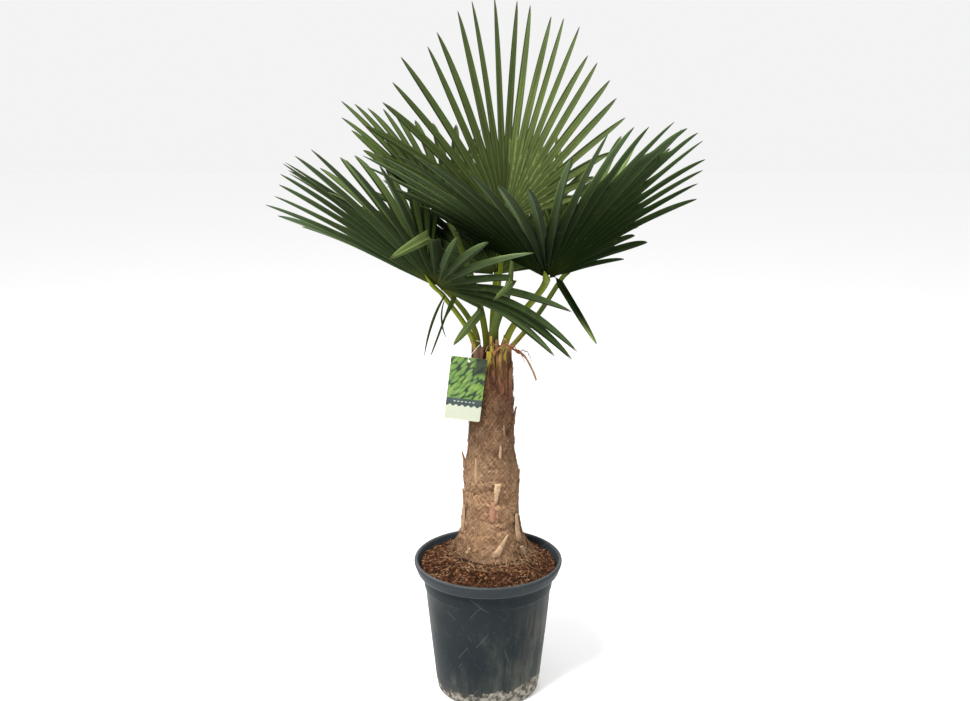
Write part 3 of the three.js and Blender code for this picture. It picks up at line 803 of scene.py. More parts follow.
class Fan:
    """One frond: where its leaflets point, how far they reach, and how they fold and hang."""

    def __init__(self, name):
        spec = FANS[name]
        self.name = name
        self.seed = list(FANS).index(name)
        self.hub = np.array(spec["hub"])
        for key in ("reach", "droop", "right", "left", "foot", "rate"):
            setattr(self, key, spec[key])
        rise = math.radians(spec["rise"])
        roll = math.radians(spec["roll"])
        self.out = polar(math.cos(rise), spec["heading"], math.sin(rise))
        level = polar(1, spec["heading"] + 90)
        upper = np.cross(self.out, level)
        self.leftward = level * math.cos(roll) + upper * math.sin(roll)
        self.upper = np.cross(self.out, self.leftward)
        for key in ("sunk", "cut", "torn", "rolled", "lit", "wide"):
            setattr(self, key, spec.get(key, {}))
        right_ribs, left_ribs = self.right[4], self.left[4]
        self.count = right_ribs + left_ribs
        self.seams = np.concatenate((
            np.linspace(-self.right[1], 0, right_ribs + 1),
            np.linspace(0, self.left[1], left_ribs + 1)[1:],
        ))
        # ribs are not evenly spread
        for j in range(1, self.count):
            spacing = self.right[1] / right_ribs if j <= right_ribs else self.left[1] / left_ribs
            self.seams[j] += spacing * 0.4 * (chance(self.seed + 71, j) - 0.5)
        self.reaches = self.leaflet_reaches()

    def half(self, degrees):
        """Fold, shortening and lift of the half that each angle lies in."""
        rightward = np.asarray(degrees) < 0
        return [np.where(rightward, self.right[k], self.left[k]) for k in (0, 2, 3)]

    def axes(self, degrees):
        """Along, normal and across directions of a leaflet at an angle from the middle one."""
        angle = np.radians(np.asarray(degrees, float))
        fold, _, lift = self.half(degrees)
        fold = np.radians(fold)[..., None]
        lift = (lift * np.maximum(0, np.abs(angle) - math.radians(55)) ** 2)[..., None]
        c = np.cos(angle)[..., None]
        s = np.sin(angle)[..., None]
        raised = np.abs(s) * np.sin(fold) + lift
        along = unit(c * self.out + s * np.cos(fold) * self.leftward + raised * self.upper)
        side = s / np.sqrt(s * s + 0.05)
        normal = np.cos(fold) * self.upper - side * np.sin(fold) * self.leftward
        normal = unit(normal - along * np.sum(normal * along, axis=-1, keepdims=True))
        return along, normal, np.cross(normal, along)

    def at(self, degrees, radius, lift=0.0):
        """A point of the fan, by angle, distance from the hub and height over the blade."""
        along, normal, _ = self.axes(degrees)
        radius = np.asarray(radius, float)[..., None]
        sag = self.droop * self.reach * (radius / self.reach) ** 2
        return self.hub + along * radius + normal * np.asarray(lift, float)[..., None] - UP * sag

    def middle(self, i):
        """The angle of a leaflet's midrib."""
        return (self.seams[i] + self.seams[i + 1]) / 2

    def leaflet_reaches(self):
        """How far each leaflet reaches from the hub."""
        outermost = (0.55, 0.72, 0.88)
        reaches = []
        for i in range(self.count):
            degrees = self.middle(i)
            _, short, _ = self.half(degrees)
            order = min(i, self.count - 1 - i)
            trim = self.right[5] if degrees < 0 else self.left[5]
            edge = 1 - trim * (1 - outermost[order]) if order < 3 else 1.0
            uneven = 0.96 + 0.07 * chance(self.seed + 3, i)
            turned = 1 - math.cos(math.radians(degrees))
            reach = self.reach * (1 - float(short) * turned / 2) * edge * uneven
            reach = self.cut.get(i, reach)
            reaches.append(min(reach, KEPT_SHORT.get(self.name, {}).get(i, reach)))
        return reaches

    def split(self, j):
        """How far out two leaflets part."""
        if j in self.torn:
            return self.torn[j]
        near = min(self.reaches[max(j - 1, 0)], self.reaches[min(j, self.count - 1)])
        share = self.right[6] if j <= self.right[4] else self.left[6]
        return min(self.reach * (share + 0.08 * chance(self.seed, j)), near * 0.8)

    def leaflet_path(self, i):
        """A leaflet's midrib from the hub to its tip: distances, points, tangents and normals."""
        degrees = self.middle(i)
        reach = self.reaches[i]
        parted = (self.split(i) + self.split(i + 1)) / 2
        r = np.linspace(0, reach, 90)
        along, normal, across = self.axes(degrees)
        points = self.at(np.full(len(r), degrees), r)
        free = np.clip((r - parted) / (reach - parted), 0, 1)
        sway = (chance(self.seed + 11, i) - 0.5) * 0.05 * reach
        nod = (0.005 + 0.03 * chance(self.seed + 23, i) ** 2) * reach
        nod += self.sunk.get(i, 0.0)
        points = points + across * (sway * free**2)[:, None] - UP * (nod * free**2)[:, None]
        bend = KINKS.get(self.name, {}).get(i)
        if bend:
            share, to, width, _ = bend
            turned = smooth((r / reach - share) / width + 0.5)[:, None]
            steps = np.gradient(points, axis=0)
            size = np.linalg.norm(steps, axis=1, keepdims=True)
            steps = unit(steps * (1 - turned) + size * turned * unit(np.array(to))) * size
            walked = np.cumsum((steps[1:] + steps[:-1]) / 2, axis=0)
            points = points[0] + np.concatenate((np.zeros((1, 3)), walked))
        tangent = unit(np.gradient(points, axis=0))
        normals = [unit(normal - tangent[0] * np.dot(normal, tangent[0]))]
        for k in range(1, len(r)):
            carried = normals[-1] - tangent[k] * np.dot(normals[-1], tangent[k])
            normals.append(unit(carried))
        normals = np.array(normals)
        roll = self.rolled.get(i, 24 * (chance(self.seed + 83, i) - 0.5)) * smooth(free * 1.4)
        if bend:
            roll = roll + bend[3] * smooth((r / reach - bend[0]) / bend[2] + 0.5)
        roll = np.radians(roll)[:, None]
        normals = normals * np.cos(roll) + np.cross(tangent, normals) * np.sin(roll)
        return r, points, tangent, normals

    def stalk_curve(self):
        """The four points that steer the leaf stalk, from the trunk's top to the hub."""
        radius, heading, lean = self.foot
        foot = polar(radius, heading, TRUNK_TOP + CLEAR) + TRUNK_AXIS
        end = self.hub + self.out * (HUB_RADIUS - 0.0006)
        span = np.linalg.norm(end - foot)
        outward = (self.hub - foot) * (1, 1, 0)
        outward = unit(outward)
        return (
            foot,
            foot + UP * span * 0.3 + outward * span * lean,
            self.hub - self.out * span * self.rate,
            end,
        )


# Leaflets that are bent over: fan, leaflet, share of the reach where the bend lies, the way the end
# points, the length of the bend as a share of the reach, and how far the end is rolled, in degrees.
KINKS = {
    "left": {
        11: (0.70, (-0.88, -0.10, -0.47), 0.08, -55),
        15: (0.82, (-0.72, 0.00, -0.70), 0.08, 20),
        20: (0.52, (-0.62, 0.00, -0.78), 0.06, 105),
        21: (0.22, (-0.36, 0.10, -0.93), 0.12, 0),
    },
    "right": {
        27: (0.14, (0.52, 0.05, -0.85), 0.20, 150),
    },
}


# Thin shreds that hang under a hub: the four points that steer each one, from the hub, and half widths.
SHREDS = {
    "left": (
        (
            (0.019, -0.005, -0.017), (0.000, -0.005, -0.047), (-0.020, -0.005, -0.094),
            (-0.030, -0.005, -0.159), 0.0036,
        ),
        (
            (0.016, -0.003, -0.033), (0.006, -0.003, -0.061), (0.009, -0.003, -0.093),
            (0.020, -0.003, -0.117), 0.0024,
        ),
    ),
}


def hang_shreds(shape, fan):
    """Adds the shreds under a frond's hub: narrow strips with their edges towards the front."""
    for order, (*corners, half_width) in enumerate(SHREDS.get(fan.name, ())):
        shares = np.linspace(0, 1, 18)
        points = fan.hub + bezier(*[np.array(c) for c in corners], shares)
        widths = 2 * half_width * np.sin(np.pi * (0.10 + 0.88 * shares)) ** 0.7
        rings = sweep(points, np.tile((1.0, 0.3, 0.0), (len(shares), 1)), widths, widths * 0.22, 6)
        count = len(shares)
        shape.add(
            rings.reshape(-1, 3), ring_faces(count, 6),
            along=np.repeat(0.2 + 0.5 * shares, 6),
            across=np.tile((0.9, 0.3, -0.9, -0.9, -0.3, 0.9), count),
            top=1.0, tone=chance(fan.seed + 97, order), shade=0.16, tip=np.repeat(shares, 6),
        )


def blade_shape(shape, fan, settings, shades):
    """Adds one frond's blade: pleated and whole near the hub, then one folded leaflet for each rib."""
    web_rows = 8
    free_rows = 13
    columns = np.array((-1.0, -0.5, 0.0, 0.5, 1.0))

    def pleat(radius):
        return settings.pleat * np.clip(np.asarray(radius) / 0.11, 0.12, 1) ** 0.8

    for i in range(fan.count):
        reach = fan.reaches[i]
        parts = (fan.split(i), fan.split(i + 1))
        mid_part = sum(parts) / 2
        r, points, tangent, normals = fan.leaflet_path(i)
        sides = np.cross(normals, tangent)

        def follow(radius, table):
            return np.stack([np.interp(radius, r, table[:, k]) for k in range(3)], axis=-1)

        rows = []
        lifts = []
        share = np.linspace(0, 1, web_rows + 1)
        web = {}
        for c, degrees, part, sign in (
            (-1, fan.seams[i], parts[0], 1),
            (0, fan.middle(i), mid_part, -1),
            (1, fan.seams[i + 1], parts[1], 1),
        ):
            radius = HUB_RADIUS + (part - HUB_RADIUS) * share
            turn = np.full(len(radius), degrees)
            web[c] = fan.at(turn, radius, pleat(radius) * sign)
        _, web_normal, _ = fan.axes(np.full(len(share), fan.middle(i)))
        hollow = 0.16 * pleat(HUB_RADIUS + (mid_part - HUB_RADIUS) * share)
        quarter_a = (web[-1] + web[0]) / 2 + web_normal * hollow[:, None]
        quarter_b = (web[1] + web[0]) / 2 + web_normal * hollow[:, None]
        rows.append(np.stack((web[-1], quarter_a, web[0], quarter_b, web[1]), axis=1))
        lifts.append(np.repeat(web_normal[:, None], 5, axis=1))

        t = (np.arange(free_rows) + 1) / free_rows
        t = t**0.92
        notch = 0.022 + 0.02 * chance(fan.seed + 41, i)
        half_step = math.radians(fan.seams[i + 1] - fan.seams[i]) / 2
        slant = np.hypot(mid_part * math.sin(half_step), 2 * settings.pleat)
        width = settings.leaf_width * (0.86 + 0.28 * chance(fan.seed + 61, i)) * min(1, reach / 0.3)
        width *= fan.wide.get(i, 1.0)
        slant = (width + (slant - width) * (1 - smooth(t / 0.35))) * (1 - 0.25 * t) * (1 - t**4) ** 0.75
        slant = slant + 0.0012 * t
        lean = np.radians(38 - 8 * smooth(t * 1.3) + 14 * (chance(fan.seed + 5, i) - 0.5))
        trough = -settings.pleat * (1 - t) ** 0.7
        free_points = []
        for c in columns:
            part = parts[0] if c < 0 else parts[1] if c > 0 else mid_part
            end = reach if c else reach * (1 - notch)
            radius = part + (end - part) * t
            if abs(c) == 0.5:
                radius = (radius + mid_part + (reach * (1 - notch / 2) - mid_part) * t) / 2
            centre = follow(radius, points)
            side = unit(follow(radius, sides))
            normal = unit(follow(radius, normals))
            over = trough + abs(c) * slant * np.sin(lean) - (0.10 * slant if abs(c) == 0.5 else 0)
            free_points.append(centre + side * (c * slant * np.cos(lean))[:, None] + normal * over[:, None])
        rows.append(np.stack(free_points, axis=1))
        mid_radius = mid_part + (reach * (1 - notch) - mid_part) * t
        lifts.append(np.repeat(unit(follow(mid_radius, normals))[:, None], 5, axis=1))

        surface = np.concatenate(rows)
        lift = np.concatenate(lifts)
        half = settings.thickness / 2
        total = len(surface)
        thin = np.ones(total)
        thin[-2:] = (0.7, 0.5)
        verts = np.concatenate((
            (surface + lift * half * thin[:, None, None]).reshape(-1, 3),
            (surface - lift * half * thin[:, None, None]).reshape(-1, 3),
        ))
        layer = total * 5
        faces = []
        for k in range(total - 1):
            for c in range(4):
                a = k * 5 + c
                faces.append((a, a + 1, a + 6, a + 5))
                faces.append((layer + a, layer + a + 5, layer + a + 6, layer + a + 1))
            for c, seam in ((0, i), (4, i + 1)):
                joined = 0 < seam < fan.count
                if k >= web_rows or not joined:
                    a = k * 5 + c
                    faces.append((a, a + 5, layer + a + 5, layer + a))
        for c in range(4):
            last = (total - 1) * 5 + c
            faces.append((c, c + 1, layer + c + 1, layer + c))
            faces.append((last, layer + last, layer + last + 1, last + 1))
        along = np.concatenate((HUB_RADIUS + (mid_part - HUB_RADIUS) * share, mid_radius)) / fan.reach
        along = np.repeat(along, 5)
        across = np.tile(columns, total)
        # painted light and shade: each leaflet painted lighter or darker by its place across the fan, less
        # near the hub, times its own painted light
        grown = smooth((along - 0.22) / 0.65)
        shade = shades[0] + (shades[1] - shades[0]) * i / (fan.count - 1)
        shape.add(
            verts, faces,
            along=np.tile(along, 2),
            across=np.tile(across, 2),
            top=np.concatenate((np.ones(layer), np.zeros(layer))),
            tone=chance(fan.seed + 7, i),
            shade=np.tile(fan.lit.get(i, 1.0) * shade * (shades[2] + (1 - shades[2]) * grown), 2),
            tip=np.tile(np.repeat(np.concatenate((np.zeros(web_rows + 1), t)), 5), 2),
        )


def leaf_finish(settings):
    """Satin leaf: painted light and shade by place, lighter ribs partly painted highlight, fine veins, a
    yellow hub, a duller underside darkened as painted shade, and a few dry tips.
    """
    finish, t, shader, place = material("leaf_blade", 0.50, 0.02)
    along = t.value("along")
    across = t.value("across")
    top = t.value("top")
    tone = t.value("tone")
    shade = t.value("shade")
    tip = t.value("tip")
    broad = patches(t, place, 7.0, 0.40, 0.66)
    varied = t.plus(t.times(tone, 0.46), t.times(broad, 0.18))
    # painted light and shade: it mixes the upper face from dark to mid green and the underside from near black
    # to the underside green
    light = t.times(shade, t.plus(0.50, varied))
    light = t.plus(light, t.times(tone, 0.04))
    upper = t.mix(light, settings.dark_green, settings.mid_green)
    lower = t.mix(light, (0.0030, 0.0075, 0.0010), settings.under_green)
    colour = t.mix(top, lower, upper)
    # pale grey-green towards the tips: part waxy bloom, part painted sheen, stronger where the painted light
    # is
    bloom_and_sheen = t.times(t.ramp(along, 0.55, 1.0), light)
    colour = t.cover(colour, (0.110, 0.150, 0.105), bloom_and_sheen, 0.30)

    vein = t.noise(t.spread(t.times(across, 7.0), t.times(along, 1.6), tone), 2.4, 3.0, 0.6)
    strength = t.plus(0.55, t.times(t.ramp(vein, 0.25, 0.75), 0.9))
    off = t.size(across)
    # a lighter midrib: partly its own paler colour, partly a painted highlight on the raised rib
    rib = t.rest(t.ramp(off, 0.03, 0.16))
    edge = t.ramp(off, 0.86, 0.97)
    strength = t.plus(strength, t.times(rib, 0.9))
    free = t.ramp(tip, 0.04, 0.40)
    strength = t.plus(strength, t.times(t.times(edge, free), 0.35))
    # painted shade in the folds where leaflets still hold together, and painted light on one side of each free
    # one, the other side left darker
    whole = t.rest(t.ramp(tip, 0.0, 0.12))
    fold = t.times(t.ramp(off, 0.70, 0.98), whole)
    strength = t.times(strength, t.rest(t.times(fold, 0.8)))
    side = t.less(0.5, t.ramp(across, -0.2, 0.2))
    contrast = t.plus(0.20, t.times(free, 0.60))
    strength = t.times(strength, t.plus(1.0, t.times(side, contrast)))
    colour = t.vector("SCALE", colour, Scale=strength)
    spot = patches(t, place, 46.0, 0.60, 0.72)
    colour = t.cover(colour, (0.10, 0.10, 0.03), spot, 0.12)
    # the hub's own yellow, faded where the painted shade is dark
    hub = t.times(t.rest(t.ramp(along, 0.02, 0.14)), t.ramp(shade, -0.06, 0.30))
    colour = t.cover(colour, settings.hub_yellow, hub, 0.5)
    dry = t.times(t.ramp(tip, 0.95, 1.0), t.ramp(tone, 0.25, 0.5))
    colour = t.cover(colour, (0.050, 0.036, 0.020), dry, 0.8)
    coat(t, shader, colour)
    rough = t.less(0.62, t.times(top, 0.20))
    t.put(shader.inputs["Roughness"], t.plus(rough, t.times(broad, 0.1)))
    bump(t, shader, t.plus(vein, t.times(rib, 0.5)), 0.35, 0.0005)
    return finish


# Painted light and shade on each fan, from 0 to 1: how light its leaves are painted at its right margin and at
# its left one, and what share of that is left near the hub.
FAN_SHADES = {
    "centre": (1.05, 0.12, 1.30), "right": (0.90, 0.12, 0.0), "left": (0.95, 0.58, 0.34),
    "up_left": (0.12, 0.30, 0.3), "back_right": (0.45, 0.60, 0.3), "back": (0.60, 0.20, 0.15),
    "back_left": (0.25, 0.50, 0.3),
}


class PALM_OT_fans(bpy.types.Operator):
    """Makes the pleated blades of the fronds"""

    bl_idname = "palm.fans"
    bl_label = "Fans"

    def execute(self, context):
        settings = context.scene.palm_fans
        finish = leaf_finish(settings)
        for name in FANS:
            shape = Shape()
            fan = Fan(name)
            blade_shape(shape, fan, settings, FAN_SHADES[name])
            hang_shreds(shape, fan)
            blade = shape.build(f"fan_{name}", finish, 2e-6)
            finish_piece(blade, [f"frond_{name}"])
        return {"FINISHED"}


# ---------- stalks ----------


def stalk_frame(fan, shares):
    """Points of a leaf stalk and the sideways direction at each."""
    points = bezier(*fan.stalk_curve(), shares)
    sideways = polar(1, fan.foot[1] - 90)
    if np.dot(sideways, fan.leftward) < 0:
        sideways = -sideways
    share = np.clip(np.asarray(shares), 0, 1)[:, None]
    return points, sideways * (1 - share) + fan.leftward * share


def stalk_finish(settings):
    """Glossy yellow-green stalk with darker streaks, yellower at the foot, with painted light and shade on
    each stalk and painted shade along its edges.
    """
    finish, t, shader, place = material("leaf_stalk", 0.48, 0.03)
    along = t.value("along")
    around = t.value("around")
    tone = t.value("tone")
    # painted light and shade of each stalk, from its shaded tone to its lit green
    green = t.mix(tone, settings.shade, settings.green)
    foot = t.rest(t.ramp(along, 0.05, 0.42))
    colour = t.mix(t.times(foot, 0.85), green, settings.yellow)
    streak = t.noise(t.spread(t.times(around, 26.0), t.times(along, 2.5), tone), 1.7, 3.0, 0.6)
    colour = t.mix(t.times(t.ramp(streak, 0.50, 0.74), 0.55), colour, settings.shade)
    colour = t.mix(t.times(t.ramp(streak, 0.45, 0.25), 0.25), colour, (0.30, 0.36, 0.03))
    # painted shade along both edges of the stalk
    rim = t.ramp(t.size(t.less(around, 0.5)), 0.20, 0.46)
    colour = t.cover(colour, settings.shade, rim, 0.72)
    speck = patches(t, place, 150.0, 0.64, 0.70)
    colour = t.cover(colour, (0.10, 0.06, 0.025), speck, 0.5)
    brown = t.rest(t.ramp(along, 0.0, 0.10))
    colour = t.cover(colour, (0.19, 0.115, 0.045), brown, 0.75)
    coat(t, shader, colour)
    bump(t, shader, streak, 0.25, 0.0005)
    return finish


# Painted light and shade on each stalk, at its foot and at its hub: how far it goes from the shaded tone to
# the lit green.
STALK_PAINTED_LIGHT = {
    "centre": (0.55, 0.80), "right": (0.35, 0.90), "left": (0.85, 1.0), "up_left": (0.40, 0.0),
    "back_right": (0.05, 0.15), "back": (0.30, 0.40), "back_left": (0.25, 0.30),
}


def set_pieces(t, given, spots, turn, seed):
    """Sets the given piece on every spot, turned, and in sizes drawn between the two given ones."""
    size = t.add("FunctionNodeRandomValue", {"data_type": "FLOAT"}, _2=given["Smallest"], _3=given["Largest"])
    t.put(size.inputs["Seed"], seed)
    info = t.add("GeometryNodeObjectInfo", Object=given["Piece"])
    return t.add(
        "GeometryNodeInstanceOnPoints", Points=spots.outputs["Points"], Instance=info.outputs["Geometry"],
        Rotation=turn.outputs["Rotation"], Scale=size.outputs[1],
    )


def end_tree(t, given, leave, pieces):
    """Makes the pieces real and gives them their finish."""
    real = t.add("GeometryNodeRealizeInstances", _0=pieces)
    t.put(leave[0], t.add("GeometryNodeSetMaterial", Geometry=real, Material=given["Finish"]))


def row_tree(name):
    """Geometry nodes: sets a small piece along every line of a mesh, pointing along a stored direction."""
    t, given, leave, sockets = group_tree(name, "GeometryNodeTree", (
        ("Lines", GEOMETRY, None), ("Piece", "NodeSocketObject", None),
        ("Spacing", FLOAT, 0.005), ("Smallest", FLOAT, 0.7), ("Largest", FLOAT, 1.2),
        ("Seed", "NodeSocketInt", 1), ("Finish", "NodeSocketMaterial", None),
    ), (("Geometry", GEOMETRY),))
    curve = t.add("GeometryNodeMeshToCurve", _0=given["Lines"])
    spots = t.add("GeometryNodeCurveToPoints", {"mode": "LENGTH"}, Curve=curve, Length=given["Spacing"])
    outward = t.add("GeometryNodeInputNamedAttribute", {"data_type": "FLOAT_VECTOR"}, Name="outward")
    turn = t.add("FunctionNodeAlignRotationToVector", {"axis": "Z"}, Vector=outward.outputs["Attribute"])
    placed = set_pieces(t, given, spots, turn, given["Seed"])
    end_tree(t, given, leave, placed.outputs["Instances"])
    return t.tree, sockets


def scatter_tree(name):
    """Geometry nodes: strews pieces over a surface, along its upward direction, with a lean."""
    t, given, leave, sockets = group_tree(name, "GeometryNodeTree", (
        ("Surface", GEOMETRY, None), ("Piece", "NodeSocketObject", None),
        ("Density", FLOAT, 1000.0), ("Smallest", FLOAT, 0.7), ("Largest", FLOAT, 1.3),
        ("Turn", FLOAT, 0.5), ("Lean", FLOAT, 0.2), ("Steer", VECTOR, None),
        ("Seed", "NodeSocketInt", 1), ("Finish", "NodeSocketMaterial", None),
    ), (("Geometry", GEOMETRY),))
    seed, lean = given["Seed"], given["Lean"]
    spots = t.add(
        "GeometryNodeDistributePointsOnFaces", Mesh=given["Surface"], Density=given["Density"], Seed=seed
    )
    stand = t.add("FunctionNodeAlignRotationToVector", {"axis": "Z"}, Vector=spots.outputs["Normal"])
    steer = t.add(
        "FunctionNodeAlignRotationToVector", {"axis": "X", "pivot_axis": "Z"},
        Rotation=stand.outputs["Rotation"], Vector=given["Steer"],
    )
    low = t.spread(t.times(lean, -0.4), t.times(lean, -1.0), t.times(given["Turn"], -1.0))
    high = t.spread(t.times(lean, 0.4), t.times(lean, 0.15), given["Turn"])
    loose = t.add("FunctionNodeRandomValue", {"data_type": "FLOAT_VECTOR"}, _0=low, _1=high, Seed=seed)
    euler = t.add("FunctionNodeEulerToRotation", _0=loose)
    turn = t.add(
        "FunctionNodeRotateRotation", {"rotation_space": "LOCAL"},
        Rotation=steer.outputs["Rotation"], Rotate_By=euler,
    )
    placed = set_pieces(t, given, spots, turn, t.plus(seed, 7.0))
    shade = t.add("FunctionNodeRandomValue", {"data_type": "FLOAT"}, Seed=t.plus(seed, 19.0))
    store = t.add(
        "GeometryNodeStoreNamedAttribute", {"data_type": "FLOAT", "domain": "INSTANCE"},
        Geometry=placed.outputs["Instances"], Name="tone", Value=shade.outputs[1],
    )
    end_tree(t, given, leave, store.outputs["Geometry"])
    return t.tree, sockets


def grow(name, base, tree_and_sockets, **inputs):
    """Runs a geometry nodes tree on a base mesh and keeps only what it makes, as a plain mesh."""
    tree, sockets = tree_and_sockets
    modifier = base.modifiers.new("grow", "NODES")
    modifier.node_group = tree
    for label, value in inputs.items():
        modifier[sockets[label]] = value
    context = bpy.context
    context.view_layer.update()
    graph = context.evaluated_depsgraph_get()
    grown = base.evaluated_get(graph)
    mesh = bpy.data.meshes.new_from_object(grown, preserve_all_data_layers=True, depsgraph=graph)
    base.modifiers.remove(modifier)
    mesh.name = name
    piece = bpy.data.objects.new(name, mesh)
    context.scene.collection.objects.link(piece)
    return piece


def strew(scatter, lots):
    """Strews lots of small pieces over their surfaces, and hangs each lot on the plant."""
    for name, ground, piece, finish, density, smallest, largest, turn, lean, steer, seed in lots:
        lot = grow(
            name, ground, scatter, Piece=piece, Density=density, Smallest=smallest, Largest=largest,
            Turn=turn, Lean=lean, Steer=steer, Seed=seed, Finish=finish,
        )
        finish_piece(lot)


def drop(*objects):
    """Removes helper objects that aren't part of the plant."""
    for thing in objects:
        bpy.data.objects.remove(thing, do_unlink=True)


def tooth():
    """A tiny three-sided spine."""
    verts = [(0.0007, 0, 0), (-0.00035, 0.0006, 0), (-0.00035, -0.0006, 0), (0, 0, 0.0017)]
    faces = [(0, 2, 1), (0, 1, 3), (1, 2, 3), (2, 0, 3)]
    return add_piece("spine", verts, faces, [], flat=True)


class PALM_OT_stalks(bpy.types.Operator):
    """Makes the leaf stalks with their spiny edges"""

    bl_idname = "palm.stalks"
    bl_label = "Leaf stalks"

    def execute(self, context):
        settings = context.scene.palm_stalks
        finish = stalk_finish(settings)
        lines = Shape()
        edges = []
        outward = []
        for name in FANS:
            fan = Fan(name)
            shares = np.linspace(0, 1, 46)
            points, sideways = stalk_frame(fan, shares)
            keel = np.linspace(0, 1, 9)[1:]
            under = points[-1] + np.outer(keel * 0.046, fan.out) - fan.upper * 0.0065
            points[-6:] -= np.outer(smooth(np.linspace(0, 1, 6)) * 0.0055, fan.upper)
            points = np.concatenate((points, under))
            sideways = np.concatenate((sideways, np.repeat(sideways[-1:], len(keel), axis=0)))
            widths = np.concatenate((0.0240 - 0.0080 * shares**0.8, 0.0158 * (1 - keel) ** 0.8 + 0.0012))
            depths = np.concatenate((0.0145 - 0.0045 * shares, 0.0095 * (1 - keel) ** 0.7 + 0.0012))
            widths[:4] *= (1.10, 1.07, 1.04, 1.02)
            rings = sweep(points, sideways, widths, depths, 20, 0.55, UP)
            count = len(points)
            shape = Shape()
            shape.add(
                rings, ring_faces(count, 20),
                along=np.repeat(np.concatenate((shares, np.ones(len(keel)))), 20),
                around=np.tile(np.abs((np.arange(20) + 0.5) / 10 - 1), count),
                tone=np.repeat(np.interp(np.linspace(0, 1.2, count), (0.1, 0.9), STALK_PAINTED_LIGHT[name]), 20),
            )
            stalk = shape.build(f"stalk_{name}", finish)
            finish_piece(stalk, [f"petiole_{name}"])
            for j in (0, 9):
                edge = rings[5:44, j] * 0.5 + rings[5:44, (j + 19) % 20 if j == 0 else 10] * 0.5
                away = unit(edge - points[5:44])
                base = sum(len(v) for v in lines.verts)
                lines.add(edge - away * 0.0004, [])
                edges.extend((base + k, base + k + 1) for k in range(len(edge) - 1))
                outward.append(away)
        mesh = bpy.data.meshes.new("stalk_lines")
        mesh.from_pydata(np.concatenate(lines.verts).tolist(), edges, [])
        layer = mesh.attributes.new("outward", "FLOAT_VECTOR", "POINT")
        layer.data.foreach_set("vector", np.concatenate(outward).astype(np.float32).ravel())
        guide = bpy.data.objects.new("stalk_lines", mesh)
        context.scene.collection.objects.link(guide)
        spine = tooth()
        spines = grow(
            "stalk_spines", guide, row_tree("Spines in a row"),
            Piece=spine, Spacing=0.0052, Smallest=0.6, Largest=1.15, Seed=4, Finish=finish,
        )
        finish_piece(spines)
        drop(guide, spine)
        return {"FINISHED"}


# ---------- potting mix ----------

# Where the mix meets the pot's wall, and the higher ground that the trunk stands on.
MIX_WALL = (0.1680, 0.3340)
MIX_CROWN = (0.104, 0.3490)
MIX_BELOW = ((0.1560, 0.308), (0.1485, 0.220), (0.1385, 0.120), (0.1265, 0.024), (0.1220, 0.0088))


def mix_ground(share, turn):
    """A point of the mix's uneven top, from the trunk's axis (share 0) to the pot's wall (1)."""
    reach = MIX_WALL[0] * share
    middle = TRUNK_AXIS * (1 - share)[..., None]
    x = middle[..., 0] + reach * np.cos(turn)
    y = middle[..., 1] + reach * np.sin(turn)
    slope = smooth((share - MIX_CROWN[0] / MIX_WALL[0]) / (1 - MIX_CROWN[0] / MIX_WALL[0]))
    z = MIX_CROWN[1] - (MIX_CROWN[1] - MIX_WALL[1]) * slope
    z = z + 0.0026 * grain(x / 0.017, y / 0.017, 5) + 0.0014 * grain(x / 0.006, y / 0.006, 6)
    return np.stack((x, y, z), axis=-1)


def mix_finish(settings):
    """Damp red-brown mix with paler crumbs."""
    finish, t, shader, place = material("bark_mix", 0.94, 0.04)
    clod = patches(t, place, 60.0, 0.40, 0.66)
    colour = t.mix(clod, toned(settings.colour, 0.22), settings.colour)
    crumb = patches(t, place, 330.0, 0.56, 0.66)
    colour = t.mix(t.times(crumb, 0.55), colour, toned(settings.chip_colour, 0.55))
    coat(t, shader, colour)
    bump(t, shader, t.plus(clod, crumb), 0.8, 0.002)
    return finish


def chip_finish(settings):
    """Bark chips and straws, from dark red-brown to pale wood."""
    finish, t, shader, place = material("bark_chip", 0.86, 0.04)
    tone = t.value("tone")
    common = t.ramp(tone, 0.0, 0.80)
    colour = t.mix(common, (0.012, 0.005, 0.003), (0.098, 0.041, 0.019))
    pale = t.ramp(tone, 0.84, 0.93)
    colour = t.mix(pale, colour, settings.chip_colour)
    worn = patches(t, place, 120.0, 0.45, 0.6)
    colour = t.cover(colour, (0.055, 0.022, 0.012), worn, 0.4)
    coat(t, shader, colour)
    bump(t, shader, worn, 0.4, 0.0006)
    return finish


def straw_finish(settings):
    """Dry straws and rootlets."""
    finish, t, shader, place = material("straw", 0.85, 0.2)
    tone = t.value("tone")
    colour = t.mix(tone, (0.17, 0.078, 0.036), (0.46, 0.31, 0.17))
    worn = patches(t, place, 160.0, 0.45, 0.6)
    coat(t, shader, t.mix(t.times(worn, 0.35), colour, (0.10, 0.045, 0.022)))
    return finish


def chip_seed():
    """One bark chip: an uneven slab."""
    corners = (
        (-4.2, -2.1, -1.0), (3.6, -2.7, -1.0), (4.5, 1.8, -1.0), (-3.4, 2.6, -1.0),
        (-3.6, -1.6, 1.0), (2.6, -2.4, 1.6), (3.8, 1.2, 0.9), (-2.6, 2.1, 1.9),
    )
    return add_piece("chip_seed", np.array(corners) * MM, ring_faces(2, 4), [], flat=True)


